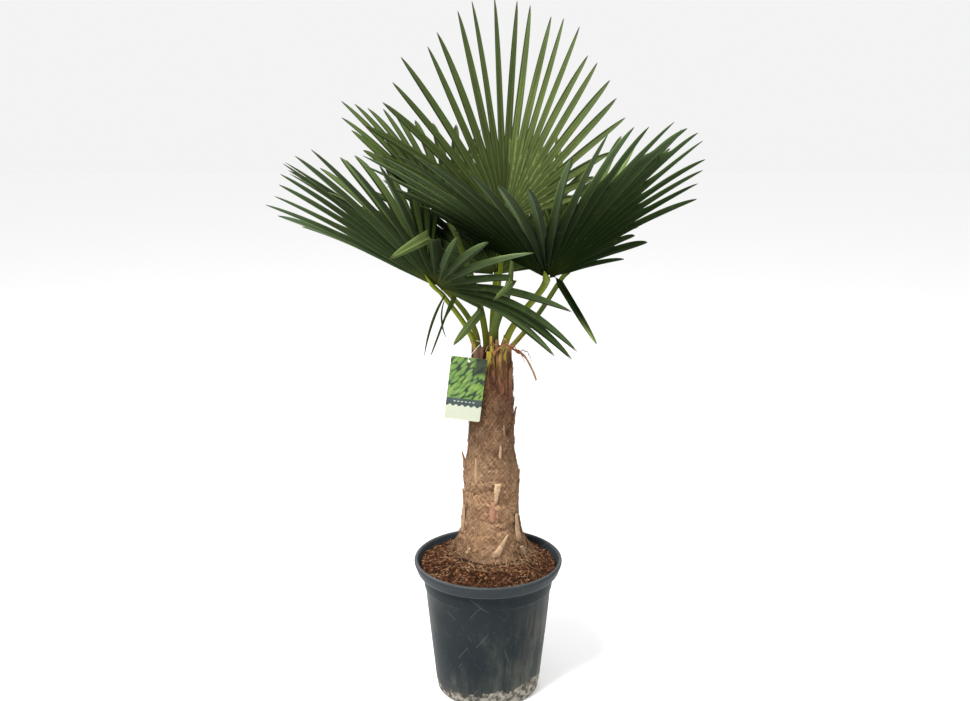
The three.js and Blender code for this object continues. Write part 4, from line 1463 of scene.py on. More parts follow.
def strand_seed(reach, thickness, curl):
    """One fibre: a thin three-sided hair, curved along X and lifted off its ground at both ends."""
    share = np.linspace(0, 1, 6)
    x = (share - 0.5) * reach
    y = curl * reach * np.sin(share * 4.2 + 0.4)
    z = 0.0004 + (share - 0.5) ** 2 * reach * curl
    path = np.stack((x, y, z), axis=1)
    width = thickness * (0.35 + 0.65 * np.sin(np.pi * (0.08 + 0.84 * share)))
    rings = sweep(path, np.tile((0.0, 1.0, 0.0), (6, 1)), width, width, 3)
    return add_piece("strand_seed", rings.reshape(-1, 3), ring_faces(6, 3), [], flat=True)


def sheet(points, name):
    """An open helper surface from a grid of points, closed round its second direction."""
    rows, sides = points.shape[:2]
    return add_piece(name, points.reshape(-1, 3), ring_faces(rows, sides, closed_ends=False), [])


class PALM_OT_mix(bpy.types.Operator):
    """Makes the potting mix with its chips and straws"""

    bl_idname = "palm.mix"
    bl_label = "Potting mix"

    def execute(self, context):
        settings = context.scene.palm_mix
        sides = 150
        turn = np.arange(sides) / sides * 2 * np.pi
        shares = np.linspace(0.30, 1, 64)
        across = np.repeat(shares[:, None], sides, axis=1)
        top = mix_ground(across, np.repeat(turn[None], len(shares), axis=0))
        below = [hoop(turn, radius, z) for radius, z in MIX_BELOW]
        rings = np.concatenate((top, below))
        mound = add_piece(
            "potting_mix", rings[::-1].reshape(-1, 3), ring_faces(len(rings), sides), [mix_finish(settings)]
        )
        weld(mound)
        finish_piece(mound, ["soil"])

        ground = sheet(top[20:-1][::-1], "mix_ground")
        near_foot = sheet(top[17:34][::-1], "mix_near_foot")
        scatter = scatter_tree("Strewn over the mix")
        chip = chip_seed()
        straw = strand_seed(0.026, 0.0010, 0.10)
        brown = chip_finish(settings)
        dry = straw_finish(settings)
        right, front = (1.0, 0.0, 0.0), (0.0, -1.0, 0.0)
        chips, straws = float(settings.chips), float(settings.straws)
        strew(scatter, (
            ("bark_chips", ground, chip, brown, chips, 0.28, 1.25, 3.14, 0.7, right, 2),
            ("mix_straws", ground, straw, dry, straws, 0.4, 1.2, 3.14, 0.25, right, 9),
            ("foot_rootlets", near_foot, straw, dry, straws * 3.4, 0.5, 1.25, 3.14, 0.3, front, 21),
        ))
        drop(ground, near_foot, chip, straw)
        return {"FINISHED"}


# ---------- trunk ----------

# Upper edges of the fibre mats: height above the soil, how far each edge climbs, towards which heading.
MAT_EDGES = (
    (0.030, 0.006, 300), (0.066, 0.012, 330), (0.110, 0.010, 60), (0.140, 0.010, 250), (0.170, 0.012, 320),
    (0.212, 0.014, 120), (0.250, 0.012, 230), (0.290, 0.015, 340), (0.328, 0.013, 190), (0.366, 0.015, 60),
    (0.404, 0.014, 280), (0.440, 0.012, 150), (0.478, 0.012, 20), (0.530, 0.008, 200),
)

# Old leaf bases: heading at the foot and at the tip, heights above the soil, half widths, how far
# the tip stands out, and the tone (0 brown, 1 pale, 2 pink).
LEAF_BASES = (
    (236, 233, 0.192, 0.262, 0.0062, 0.0026, 0.0050, 0.58),
    (279, 284, 0.148, 0.202, 0.0030, 0.0100, 0.0060, 0.98),
    (272, 273, 0.100, 0.154, 0.0085, 0.0075, 0.0030, 1.90),
    (283, 282, 0.108, 0.138, 0.0030, 0.0025, 0.0030, 1.80),
    (199, 203, 0.056, 0.132, 0.0110, 0.0040, 0.0080, 0.60),
    (197, 199, 0.040, 0.084, 0.0050, 0.0030, 0.0060, 1.60),
    (331, 326, 0.040, 0.114, 0.0135, 0.0050, 0.0080, 0.80),
    (275, 300, 0.014, 0.070, 0.0150, 0.0022, 0.0075, 0.90),
    (338, 322, 0.004, 0.034, 0.0120, 0.0065, 0.0150, 1.00),
    (225, 232, 0.016, 0.034, 0.0085, 0.0035, 0.0060, 0.96),
    (291, 292, 0.262, 0.296, 0.0050, 0.0028, 0.0045, 0.66),
    (305, 303, 0.300, 0.345, 0.0060, 0.0025, 0.0045, 0.12),
    (182, 180, 0.222, 0.262, 0.0070, 0.0030, 0.0150, 0.25),
    (358, 1, 0.336, 0.378, 0.0090, 0.0040, 0.0120, 0.20),
    (20, 14, 0.120, 0.182, 0.0110, 0.0040, 0.0090, 0.70),
    (48, 52, 0.030, 0.094, 0.0140, 0.0050, 0.0090, 0.80),
    (64, 60, 0.226, 0.290, 0.0090, 0.0040, 0.0080, 0.55),
    (92, 98, 0.110, 0.172, 0.0110, 0.0040, 0.0080, 0.85),
    (118, 112, 0.330, 0.392, 0.0090, 0.0040, 0.0090, 0.30),
    (134, 138, 0.024, 0.088, 0.0140, 0.0050, 0.0090, 0.75),
    (150, 146, 0.196, 0.262, 0.0100, 0.0040, 0.0080, 0.60),
    (168, 172, 0.100, 0.160, 0.0100, 0.0040, 0.0080, 0.90),
    (30, 34, 0.420, 0.476, 0.0090, 0.0040, 0.0080, 0.20),
    (160, 156, 0.410, 0.470, 0.0090, 0.0040, 0.0080, 0.20),
)


def girth(above):
    """The trunk's radius at a height above the soil."""
    table = np.array(TRUNK_GIRTH)
    return np.interp(above, table[:, 0], table[:, 1])


def trunk_surface(turn, above, relief):
    """How far the fibre mats stand out at an angle (radians) and height, and how near their edge it is."""
    around = turn / (2 * np.pi)
    fray = 0.005 * grain(around * 58, above / 0.06, 31, 58) + 0.013 * grain(around * 9, above / 0.11, 32, 9)
    ahead = np.full(np.broadcast(turn, above).shape, 9.0)
    for height, climb, towards in MAT_EDGES:
        edge = height + climb * np.cos(turn - math.radians(towards)) + fray
        gap = edge - above
        ahead = np.where((gap > 0) & (gap < ahead), gap, ahead)
    torn = smooth(grain(around * 6, above / 0.055, 38, 6) * 0.9 + 0.55)
    saw = (1 - smooth(ahead / 0.030)) * torn
    weave = np.sin(30 * turn + above * 520 + 3.5 * grain(around * 14, above / 0.02, 33, 14))
    weave = weave + np.sin(-34 * turn + above * 470 + 3.5 * grain(around * 12, above / 0.024, 34, 12))
    lumps = grain(around * 11, above / 0.030, 35, 11)
    knots = grain(around * 46, above / 0.008, 36, 46)
    out = relief * (saw - 0.35) + 0.0004 * weave + 0.0028 * lumps + 0.0014 * knots
    return out, saw


def fibre_finish(settings):
    """Burlap-like fibre: fine criss-cross strands, pale where dry, dark inner fibre, a painted highlight on
    the mats' raised edges and painted shade where they sink in.
    """
    finish, t, shader, place = material("trunk_fibre", 0.93, 0.15)
    split = t.add("ShaderNodeSeparateXYZ", _0=place)
    height = split.outputs[2]
    centred = t.vector("SUBTRACT", place, _1=tuple(TRUNK_AXIS))
    masks = []
    heights = []
    for twist, scale in ((11.0, 210.0), (-13.0, 250.0)):
        turn = t.add("ShaderNodeVectorRotate", {"rotation_type": "Z_AXIS"}, Vector=centred)
        t.put(turn.inputs["Angle"], t.times(height, twist))
        strands = fibres(t, turn.outputs[0], scale, 0.09, 0.13)
        masks.append(strands["Mask"])
        heights.append(strands["Height"])
    weave = t.times(t.plus(masks[0], masks[1]), 0.5)
    colour = t.mix(weave, settings.dark, settings.light)
    old = t.rest(t.ramp(height, 0.62, 0.80))
    young = t.mix(weave, (0.050, 0.020, 0.011), (0.22, 0.100, 0.050))
    colour = t.mix(t.times(t.rest(old), 0.85), colour, young)
    broad = patches(t, place, 16.0, 0.42, 0.66)
    colour = t.cover(colour, (0.135, 0.066, 0.034), broad, 0.34)
    grey = patches(t, place, 27.0, 0.52, 0.70)
    colour = t.cover(colour, (0.33, 0.235, 0.15), grey, 0.30)
    # painted highlight along the mats' raised edges (rim), and painted shade where the mats sink in (hollow)
    rim = t.value("rim")
    colour = t.mix(t.times(t.ramp(rim, 0.72, 1.0), 0.16), colour, (0.40, 0.27, 0.155))
    hollow = t.rest(t.ramp(t.value("standing"), 0.05, 0.45))
    colour = t.cover(colour, (0.045, 0.020, 0.011), hollow, 0.50)
    # paler near the soil, darker towards the crown
    paler_near_soil = t.less(1.24, t.times(t.ramp(height, 0.50, 0.66), 0.50))
    colour = t.vector("SCALE", colour, Scale=paler_near_soil)
    coat(t, shader, colour)
    bump(t, shader, t.plus(heights[0], heights[1]), 0.9, 0.0022)
    return finish


def base_finish():
    """Smooth leaf-base wood: straw, pale or pink, with long grain."""
    finish, t, shader, place = material("leaf_base", 0.72, 0.25)
    tone = t.value("tone")
    along = t.value("along")
    straw = t.mix(t.ramp(tone, 0.2, 1.0), (0.15, 0.080, 0.042), (0.46, 0.325, 0.195))
    colour = t.mix(t.ramp(tone, 1.2, 1.7), straw, (0.30, 0.130, 0.080))
    long_grain = fibres(t, place, 420.0, 0.07, 0.14)
    colour = t.cover(colour, (0.24, 0.13, 0.065), long_grain["Mask"], 0.35)
    low = t.rest(t.ramp(along, 0.0, 0.30))
    colour = t.cover(colour, (0.17, 0.085, 0.043), low, 0.65)
    worn = patches(t, place, 120.0, 0.46, 0.58)
    colour = t.cover(colour, (0.22, 0.130, 0.075), worn, 0.60)
    coat(t, shader, colour)
    bump(t, shader, long_grain["Height"], 0.5, 0.0008)
    return finish


def tongue(shape, spine_points, outward, sideways, widths, depths, rounding, **values):
    """Adds a flat tongue: sections of ten points along a spine, curved round the stem."""
    angle = (np.arange(10) + 0.5) / 10 * 2 * np.pi
    rings = []
    for k, middle in enumerate(spine_points):
        x = widths[k] * np.cos(angle)
        y = depths[k] * np.sin(angle)
        bend = rounding[k]
        if bend:
            turned = x / bend
            x = np.sin(turned) * (bend + y)
            y = np.cos(turned) * (bend + y) - bend
        rings.append(middle + np.outer(x, sideways[k]) + np.outer(y, outward[k]))
    along = np.repeat(np.linspace(0, 1, len(rings)), 10)
    faces = [tuple(reversed(f)) for f in ring_faces(len(rings), 10)]
    shape.add(np.concatenate(rings), faces, along=along, **values)


def leaf_base(shape, base, order):
    """Adds one old leaf base that lies on the trunk."""
    low_turn, high_turn, low, high, wide, narrow, stand, tone = base
    if high_turn - low_turn > 180:
        high_turn -= 360
    if low_turn - high_turn > 180:
        high_turn += 360
    shares = np.linspace(0, 1, 8)
    spine = []
    outs = []
    sides = []
    for k, s in enumerate(shares):
        heading = low_turn + (high_turn - low_turn) * s
        above = low + (high - low) * s
        radius = girth(above) - 0.0022 + stand * (0.25 + 0.75 * s**1.5)
        wander = 0.0010 * (chance(order, k) - 0.5)
        spine.append(TRUNK_AXIS + polar(radius, heading, TRUNK_FOOT + above) + polar(wander, heading + 90))
        outs.append(polar(1, heading))
        sides.append(polar(1, heading - 90))
    widths = wide + (narrow - wide) * shares**0.9
    widths = widths * (1 + 0.18 * (np.array([chance(order + 3, k) for k in range(8)]) - 0.5))
    widths[0] *= 0.8
    depths = np.linspace(0.0048, 0.0018, 8)
    tongue(shape, spine, outs, sides, widths, depths, [girth(low)] * 8, tone=tone)


def trunk_band(rows, name):
    """A helper surface round the trunk's axis, from rows of radius and height."""
    turn = np.arange(60) / 60 * 2 * np.pi
    return sheet(np.array([TRUNK_AXIS + hoop(turn, radius, z) for radius, z in rows]), name)


class PALM_OT_trunk(bpy.types.Operator):
    """Makes the trunk: its fibre mats, old leaf bases, loose strands and the sheaths round the stalks"""

    bl_idname = "palm.trunk"
    bl_label = "Trunk"

    def execute(self, context):
        settings = context.scene.palm_trunk
        sides, rows = 250, 340
        turn = np.arange(sides)[None] / sides * 2 * np.pi
        above = np.linspace(0, TRUNK_TOP - TRUNK_FOOT, rows)[:, None]
        out, saw = trunk_surface(turn, above, settings.relief)
        foot = smooth(1 - above / 0.05)
        roots = 0.004 * foot * grain(turn / (2 * np.pi) * 17, above / 0.05, 37, 17)
        radius = girth(above) + out + roots
        x = TRUNK_AXIS[0] + radius * np.cos(turn)
        y = TRUNK_AXIS[1] + radius * np.sin(turn)
        z = np.repeat(TRUNK_FOOT + above, sides, axis=1)
        wall = np.stack((x, y, z), axis=-1)
        cloth = sheet(wall[4:-6:6], "trunk_cloth")
        neck = 1 - 0.30 * smooth((above - 0.455) / 0.055)
        wall[..., :2] = TRUNK_AXIS[:2] + (wall[..., :2] - TRUNK_AXIS[:2]) * neck[..., None]
        caps = []
        for inner, drop_by in ((0.93, 0.0015), (0.75, 0.0045), (0.45, 0.0060), (0.12, 0.0060)):
            cap = wall[-1].copy()
            cap[:, :2] = TRUNK_AXIS[:2] + (cap[:, :2] - TRUNK_AXIS[:2]) * inner
            cap[:, 2] -= drop_by
            caps.append(cap)
        rings = np.concatenate((wall, caps))
        shape = Shape()
        count = len(caps) * sides
        shape.add(
            rings.reshape(-1, 3), ring_faces(len(rings), sides),
            rim=np.concatenate((saw.ravel(), np.zeros(count))),
            standing=np.concatenate(((out / 0.006 + 0.5).ravel(), np.full(count, 0.1))),
        )
        trunk = shape.build("trunk_mats", fibre_finish(settings))

        bases = Shape()
        for order, base in enumerate(LEAF_BASES):
            leaf_base(bases, base, order)
        stubs = bases.build("leaf_bases", base_finish())
        sheaths = make_sheaths()
        finish_piece(trunk, ["trunk"])
        finish_piece(stubs)
        finish_piece(sheaths)

        hair = strand_seed(0.036, 0.0008, 0.13)
        finish = strand_finish(settings)
        collar = trunk_band(((0.0540, 0.762), (0.0545, 0.785), (0.0530, 0.810), (0.0500, 0.838)), "collar")
        flare = ((0.090, 0.030), (0.096, 0.016), (0.103, 0.006), (0.112, 0.002))
        skirt = trunk_band([(radius, TRUNK_FOOT + up) for radius, up in flare], "skirt")
        rise = (0.0, 0.0, 1.0)
        strands = float(settings.strands)
        strew(scatter_tree("Strands on the trunk"), (
            ("trunk_strands", cloth, hair, finish, strands, 0.35, 1.25, 1.35, 0.12, rise, 3),
            ("loose_strands", cloth, hair, finish, strands * 0.10, 0.4, 0.9, 1.3, 0.75, rise, 12),
            ("sheath_strands", collar, hair, finish, 9000.0, 0.35, 1.1, 1.0, 0.15, rise, 31),
            ("foot_strands", skirt, hair, finish, 17000.0, 0.35, 1.2, 0.9, 0.22, rise, 21),
        ))
        drop(cloth, collar, skirt, hair)
        return {"FINISHED"}


def strand_finish(settings):
    """Loose hairs of the fibre, dark to straw."""
    finish, t, shader, place = material("trunk_strand", 0.90, 0.2)
    tone = t.value("tone")
    height = t.add("ShaderNodeSeparateXYZ", _0=place).outputs[2]
    colour = t.mix(tone, toned(settings.dark, 0.8), toned(settings.light, 1.30))
    darker = t.vector("SCALE", colour, Scale=0.55)
    colour = t.mix(t.ramp(height, 0.50, 0.68), colour, darker)
    young = t.mix(tone, (0.045, 0.018, 0.010), (0.24, 0.105, 0.050))
    colour = t.mix(t.times(t.ramp(height, 0.62, 0.80), 0.8), colour, young)
    worn = patches(t, place, 140.0, 0.42, 0.62)
    coat(t, shader, t.mix(t.times(worn, 0.30), colour, (0.075, 0.035, 0.018)))
    return finish


# Cut stubs and strips that wrap the top of the trunk: heading, heights above the floor, half widths
# at the foot and at the top, distance from the trunk's axis at the top, and tone
# (0 dark grey, 0.35 brown, 0.6 straw, 1 yellow green).
TOP_STRIPS = (
    (222, 0.792, 0.888, 0.0230, 0.0170, 0.044, 0.02),
    (262, 0.786, 0.876, 0.0120, 0.0070, 0.036, 0.95),
    (272, 0.800, 0.912, 0.0085, 0.0055, 0.028, 1.00),
    (295, 0.786, 0.904, 0.0080, 0.0048, 0.033, 0.50),
    (309, 0.770, 0.852, 0.0150, 0.0060, 0.046, 0.32),
    (331, 0.752, 0.832, 0.0130, 0.0075, 0.053, 0.22),
    (2, 0.770, 0.884, 0.0160, 0.0080, 0.046, 0.42),
    (40, 0.780, 0.900, 0.0170, 0.0080, 0.045, 0.36),
    (62, 0.770, 0.872, 0.0150, 0.0080, 0.047, 0.25),
    (105, 0.775, 0.905, 0.0170, 0.0080, 0.045, 0.50),
    (128, 0.765, 0.866, 0.0150, 0.0080, 0.047, 0.20),
    (176, 0.775, 0.892, 0.0160, 0.0080, 0.045, 0.38),
    (240, 0.765, 0.842, 0.0130, 0.0060, 0.048, 0.30),
)


def sheath_finish():
    """Sheaths that clasp the stalks: brown and fibrous below, yellow green above."""
    finish, t, shader, place = material("stalk_sheath", 0.70, 0.06)
    along = t.value("along")
    tone = t.value("tone")
    ripe = t.mix(t.ramp(tone, 0.45, 0.9), (0.17, 0.075, 0.035), (0.32, 0.26, 0.035))
    ripe = t.mix(t.rest(t.ramp(tone, 0.08, 0.40)), ripe, (0.060, 0.045, 0.036))
    colour = t.mix(t.ramp(along, 0.22, 0.70), (0.090, 0.036, 0.019), ripe)
    long_grain = fibres(t, place, 170.0, 0.08, 0.07)
    colour = t.cover(colour, (0.030, 0.014, 0.009), long_grain["Mask"], 0.90)
    frayed = fibres(t, place, 95.0, 0.14, 0.06)["Mask"]
    colour = t.cover(colour, (0.24, 0.110, 0.060), frayed, 0.45)
    coat(t, shader, colour)
    bump(t, shader, long_grain["Height"], 0.6, 0.001)
    return finish


def make_sheaths():
    """The sheaths: one round each outer leaf stalk, and the cut strips between them."""
    shape = Shape()
    for name in FANS:
        fan = Fan(name)
        radius, heading, _ = fan.foot
        if radius < 0.03:
            continue
        shares = np.linspace(0, 1, 12)
        stalk = bezier(*fan.stalk_curve(), shares * 0.16)
        grown = smooth(shares * 1.25)
        low = TRUNK_TOP - 0.088
        spine = []
        outs = []
        sides = []
        for k in range(12):
            root = TRUNK_AXIS + polar(0.0500, heading, 0)
            root[2] = low + (stalk[-1][2] - low) * shares[k]
            held = np.array([np.interp(root[2], stalk[:, 2], stalk[:, axis]) for axis in range(2)] + [0.0])
            held = held + polar(0.0065, heading)
            held[2] = root[2]
            spine.append(root * (1 - grown[k]) + held * grown[k])
            outs.append(polar(1, heading))
            sides.append(polar(1, heading - 90))
        widths = 0.030 + (0.0138 - 0.030) * smooth(shares * 1.15)
        widths[0] *= 0.85
        depths = np.linspace(0.0040, 0.0016, 12)
        bends = 0.050 + (0.020 - 0.050) * smooth(shares)
        tone = 0.55 if name in ("back", "back_left", "back_right") else 0.85
        tongue(shape, spine, outs, sides, widths, depths, bends, tone=tone)
    for order, (heading, low, high, wide, narrow, reach, tone) in enumerate(TOP_STRIPS):
        shares = np.linspace(0, 1, 9)
        spine = []
        for k, s in enumerate(shares):
            z = low + (high - low) * s
            bare = girth(min(z - TRUNK_FOOT, TRUNK_TOP - TRUNK_FOOT))
            radius = bare * (1 - smooth(s)) + (reach + 0.001) * smooth(s)
            spine.append(TRUNK_AXIS + polar(radius, heading + 5 * (chance(order, 2) - 0.5) * s, z))
        outs = [polar(1, heading)] * 9
        sides = [polar(1, heading - 90)] * 9
        widths = wide + (narrow - wide) * shares
        widths = widths * (1 + 0.2 * (np.array([chance(order + 9, k) for k in range(9)]) - 0.5))
        depths = np.linspace(0.0040, 0.0024, 9)
        tongue(shape, spine, outs, sides, widths, depths, [0.046] * 9, tone=tone)
    return shape.build("stalk_sheaths", sheath_finish())


# ---------- spear leaf and dry stalk ----------

SPEAR_FOOT = (0.015, -80)
SPEAR_TIP = (0.058, 0.020, 1.130)


class PALM_OT_spear(bpy.types.Operator):
    """Makes the young leaf that is still folded shut"""

    bl_idname = "palm.spear"
    bl_label = "Spear leaf"

    def execute(self, context):
        foot = TRUNK_AXIS + polar(SPEAR_FOOT[0], SPEAR_FOOT[1], TRUNK_TOP + CLEAR)
        tip = np.array(SPEAR_TIP)
        shares = np.linspace(0, 1, 40)
        points = bezier(foot, foot + UP * 0.120, tip - UP * 0.150, tip, shares)
        width = np.where(shares < 0.6, 0.75 + shares * 0.4, 0.99 - (shares - 0.6) * 2.1) * 0.024
        depth = 0.013 * (1 - shares * 0.6)
        sides = 28
        rings = sweep(points, np.tile((1.0, 0.0, 0.0), (40, 1)), width, depth, sides, 1.0, UP)
        middle = points[:, None]
        pleats = 1 - 0.16 * (np.arange(sides) % 2)[None, :, None] * smooth(shares * 2.4)[:, None, None]
        rings = middle + (rings - middle) * pleats
        shape = Shape()
        around = np.tile(np.arange(sides) % 2 * 2.0 - 1, 40)
        shape.add(
            rings.reshape(-1, 3), ring_faces(40, sides),
            along=np.repeat(shares * 0.40, sides), across=around, top=1.0, tone=0.5, shade=0.34,
            tip=np.repeat(shares, sides),
        )
        spear = shape.build("spear", leaf_finish(context.scene.palm_fans))
        finish_piece(spear, ["spear_leaf"])
        return {"FINISHED"}


# The withered stalk and its side twigs: curve, thickness at both ends.
WITHERED = (
    (
        (0.014, 0.003, 0.8663), (0.020, -0.014, 0.914), (0.090, -0.040, 0.904), (0.114, -0.034, 0.815),
        0.0080, 0.0072,
    ),
    (
        (0.052, -0.024, 0.898), (0.060, -0.036, 0.900), (0.078, -0.048, 0.892), (0.086, -0.046, 0.862),
        0.0044, 0.0022,
    ),
    (
        (0.078, -0.031, 0.886), (0.088, -0.026, 0.890), (0.098, -0.022, 0.880), (0.103, -0.020, 0.858),
        0.0040, 0.0018,
    ),
    (
        (0.020, -0.008, 0.893), (0.012, -0.018, 0.906), (0.000, -0.026, 0.900), (-0.006, -0.028, 0.884),
        0.0046, 0.0022,
    ),
)


def withered_finish():
    """Dry orange-brown stalk with a red knot and a grey tip."""
    finish, t, shader, place = material("withered_stalk", 0.82, 0.1)
    along = t.value("along")
    colour = t.mix(t.ramp(along, 0.15, 0.55), (0.27, 0.140, 0.060), (0.13, 0.040, 0.022))
    colour = t.mix(t.ramp(along, 0.62, 0.85), colour, (0.260, 0.185, 0.100))
    long_grain = fibres(t, place, 300.0, 0.3, 0.12)
    colour = t.cover(colour, (0.11, 0.045, 0.022), long_grain["Mask"], 0.5)
    coat(t, shader, colour)
    bump(t, shader, long_grain["Height"], 0.7, 0.0012)
    return finish


class PALM_OT_withered(bpy.types.Operator):
    """Makes the withered stalk that hangs over the trunk's edge"""

    bl_idname = "palm.withered"
    bl_label = "Withered stalk"

    def execute(self, context):
        shape = Shape()
        for order, (*corners, thick, thin) in enumerate(WITHERED):
            steps = 40 if order == 0 else 16
            shares = np.linspace(0, 1, steps)
            points = bezier(*[np.array(c) for c in corners], shares)
            wriggle = 0.0022 * smooth(shares * 4) * smooth((1 - shares) * 4)
            points[:, 1] += wriggle * np.sin(shares * 21 + order)
            points[:, 2] += wriggle * np.cos(shares * 17 + order * 2)
            size = thick + (thin - thick) * shares
            knot = np.exp(-(((shares - 0.62) / 0.045) ** 2))
            knot = knot + 0.5 * np.exp(-(((shares - 0.30) / 0.03) ** 2))
            size = size * (1 + (0.75 * knot if order == 0 else 0.0))
            size = size * (1 + 0.12 * np.sin(shares * 55 + order))
            sides = 10
            rings = sweep(points, np.tile((0.0, 1.0, 0.0), (steps, 1)), size, size * 0.72, sides, 1.0)
            shape.add(rings.reshape(-1, 3), ring_faces(steps, sides), along=np.repeat(shares, sides))
        stalk = shape.build("withered", withered_finish())
        finish_piece(stalk, ["dry_stalk"])
        return {"FINISHED"}


# ---------- label ----------

CARD_MIDDLE = (-0.054, -0.0255, 0.7905)
HOLE_DOWN = 0.008
HOLE_RADIUS = 0.003
TIE_RADIUS = 0.0008
TIE_UP_STALK = 0.13


def card_place(settings):
    """Turns the card's own upright plane to the way it hangs."""
    return Matrix.Translation(CARD_MIDDLE) @ Matrix.Rotation(settings.tilt, 4, "Y")


def print_finish():
    """The card's printed face: round leaves over a slate band, and a pale panel with dots."""
    finish, t, shader, place = material("card_print", 0.42, 0.25)
    u = t.value("across")
    v = t.value("up")
    flat = t.spread(u, v)
    slim = t.add(
        "ShaderNodeMapping", {"vector_type": "TEXTURE"}, Vector=flat,
        Rotation=(0, 0, -0.7), Scale=(1.0, 3.0, 1.0),
    ).outputs[0]
    leaves = t.cells(slim, 135.0)
    tone = t.add("ShaderNodeSeparateColor", _0=leaves["Color"]).outputs[0]
    leaf = t.mix(tone, (0.016, 0.080, 0.014), (0.13, 0.22, 0.028))
    heart = t.rest(t.ramp(leaves["Distance"], 0.05, 0.62))
    leaf = t.cover(leaf, (0.19, 0.29, 0.08), heart, 0.40)
    gap = t.ramp(leaves["Distance"], 0.46, 0.60)
    leaf = t.mix(gap, leaf, (0.006, 0.018, 0.008))
    corner = t.times(t.ramp(u, 0.010, 0.020), t.ramp(v, 0.034, 0.044))
    leaf = t.cover(leaf, (0.008, 0.011, 0.009), corner, 0.9)

    wave = t.times(t.math("SINE", t.times(u, 430.0)), 0.0022)
    edge = t.plus(v, wave)
    band = t.times(t.ramp(edge, -0.0424, -0.0420), t.rest(t.ramp(v, -0.0244, -0.0240)))
    pale = t.rest(t.ramp(edge, -0.0424, -0.0420))
    colour = t.mix(band, leaf, (0.026, 0.040, 0.040))
    bead = t.size(t.less(t.math("FRACT", t.times(u, 110.0)), 0.5))
    off = t.math("DIVIDE", t.plus(v, 0.0320), 0.0046)
    ring = t.math("SQRT", t.plus(t.times(bead, bead), t.times(off, off)))
    near = t.rest(t.ramp(t.size(u), 0.0270, 0.0274))
    dots = t.times(t.rest(t.ramp(ring, 0.25, 0.29)), near)
    colour = t.mix(dots, colour, (0.35, 0.40, 0.30))
    colour = t.mix(pale, colour, (0.356, 0.376, 0.290))
    speck = patches(t, place, 30.0, 0.40, 0.70)
    colour = t.cover(colour, (0.28, 0.31, 0.22), speck, 0.10)
    coat(t, shader, colour)
    return finish


def card_finish():
    """The card's plain back and edges, a little rubbed."""
    finish, t, shader, place = material("card_stock", 0.5, 0.4)
    rubbed = patches(t, place, 25.0, 0.42, 0.7)
    coat(t, shader, t.mix(rubbed, (0.42, 0.46, 0.34), (0.36, 0.40, 0.29)))
    return finish


def tie_finish():
    """Clear-white elastic thread, twisted."""
    finish, t, shader, place = material("elastic_tie", 0.45, 0.5)
    twist = fibres(t, place, 420.0, 0.5, 0.2)
    coat(t, shader, t.mix(twist["Mask"], (0.50, 0.49, 0.44), (0.72, 0.71, 0.66)))
    bump(t, shader, twist["Height"], 0.3, 0.0003)
    return finish


def card_mesh(settings):
    """A thin card with rounded corners and a punched hole, printed on its front."""
    half_w, half_h = settings.width / 2, settings.height / 2
    corner = 0.004
    outline = []
    for cx, cz, start in ((1, -1, -90), (1, 1, 0), (-1, 1, 90), (-1, -1, 180)):
        for k in range(6):
            a = math.radians(start + k * 18)
            x = cx * (half_w - corner) + corner * math.cos(a)
            z = cz * (half_h - corner) + corner * math.sin(a)
            outline.append((x, z))
    hole = []
    for k in range(20):
        a = k / 20 * 2 * math.pi
        hole.append((HOLE_RADIUS * math.cos(a), half_h - HOLE_DOWN + HOLE_RADIUS * math.sin(a)))
    bm = bmesh.new()
    across = bm.verts.layers.float.new("across")
    upward = bm.verts.layers.float.new("up")
    loops = []
    for loop in (outline, hole):
        verts = [bm.verts.new((x, -0.0004, z)) for x, z in loop]
        loops.append([bm.edges.new((verts[k], verts[(k + 1) % len(verts)])) for k in range(len(verts))])
    filled = bmesh.ops.triangle_fill(bm, use_beauty=True, use_dissolve=False, edges=loops[0] + loops[1])
    faces = [f for f in filled["geom"] if isinstance(f, bmesh.types.BMFace)]
    for face in faces:
        if face.normal.y > 0:
            face.normal_flip()
    grown = bmesh.ops.extrude_face_region(bm, geom=faces, use_keep_orig=True)
    back = [v for v in grown["geom"] if isinstance(v, bmesh.types.BMVert)]
    bmesh.ops.translate(bm, verts=back, vec=(0, 0.0008, 0))
    for vert in bm.verts:
        bend = 0.0025 * (vert.co.x / half_w) ** 2
        vert[across] = vert.co.x
        vert[upward] = vert.co.z
        vert.co.y += bend - 0.0012
    bmesh.ops.recalc_face_normals(bm, faces=bm.faces)
    for face in bm.faces:
        face.material_index = 1
        face.smooth = False
        if face.normal.y < -0.7:
            face.material_index = 0
    bm.transform(card_place(settings))
    mesh = bpy.data.meshes.new("card")
    bm.to_mesh(mesh)
    bm.free()
    mesh.materials.append(print_finish())
    mesh.materials.append(card_finish())
    card = bpy.data.objects.new("card", mesh)
    bpy.context.scene.collection.objects.link(card)
    return card


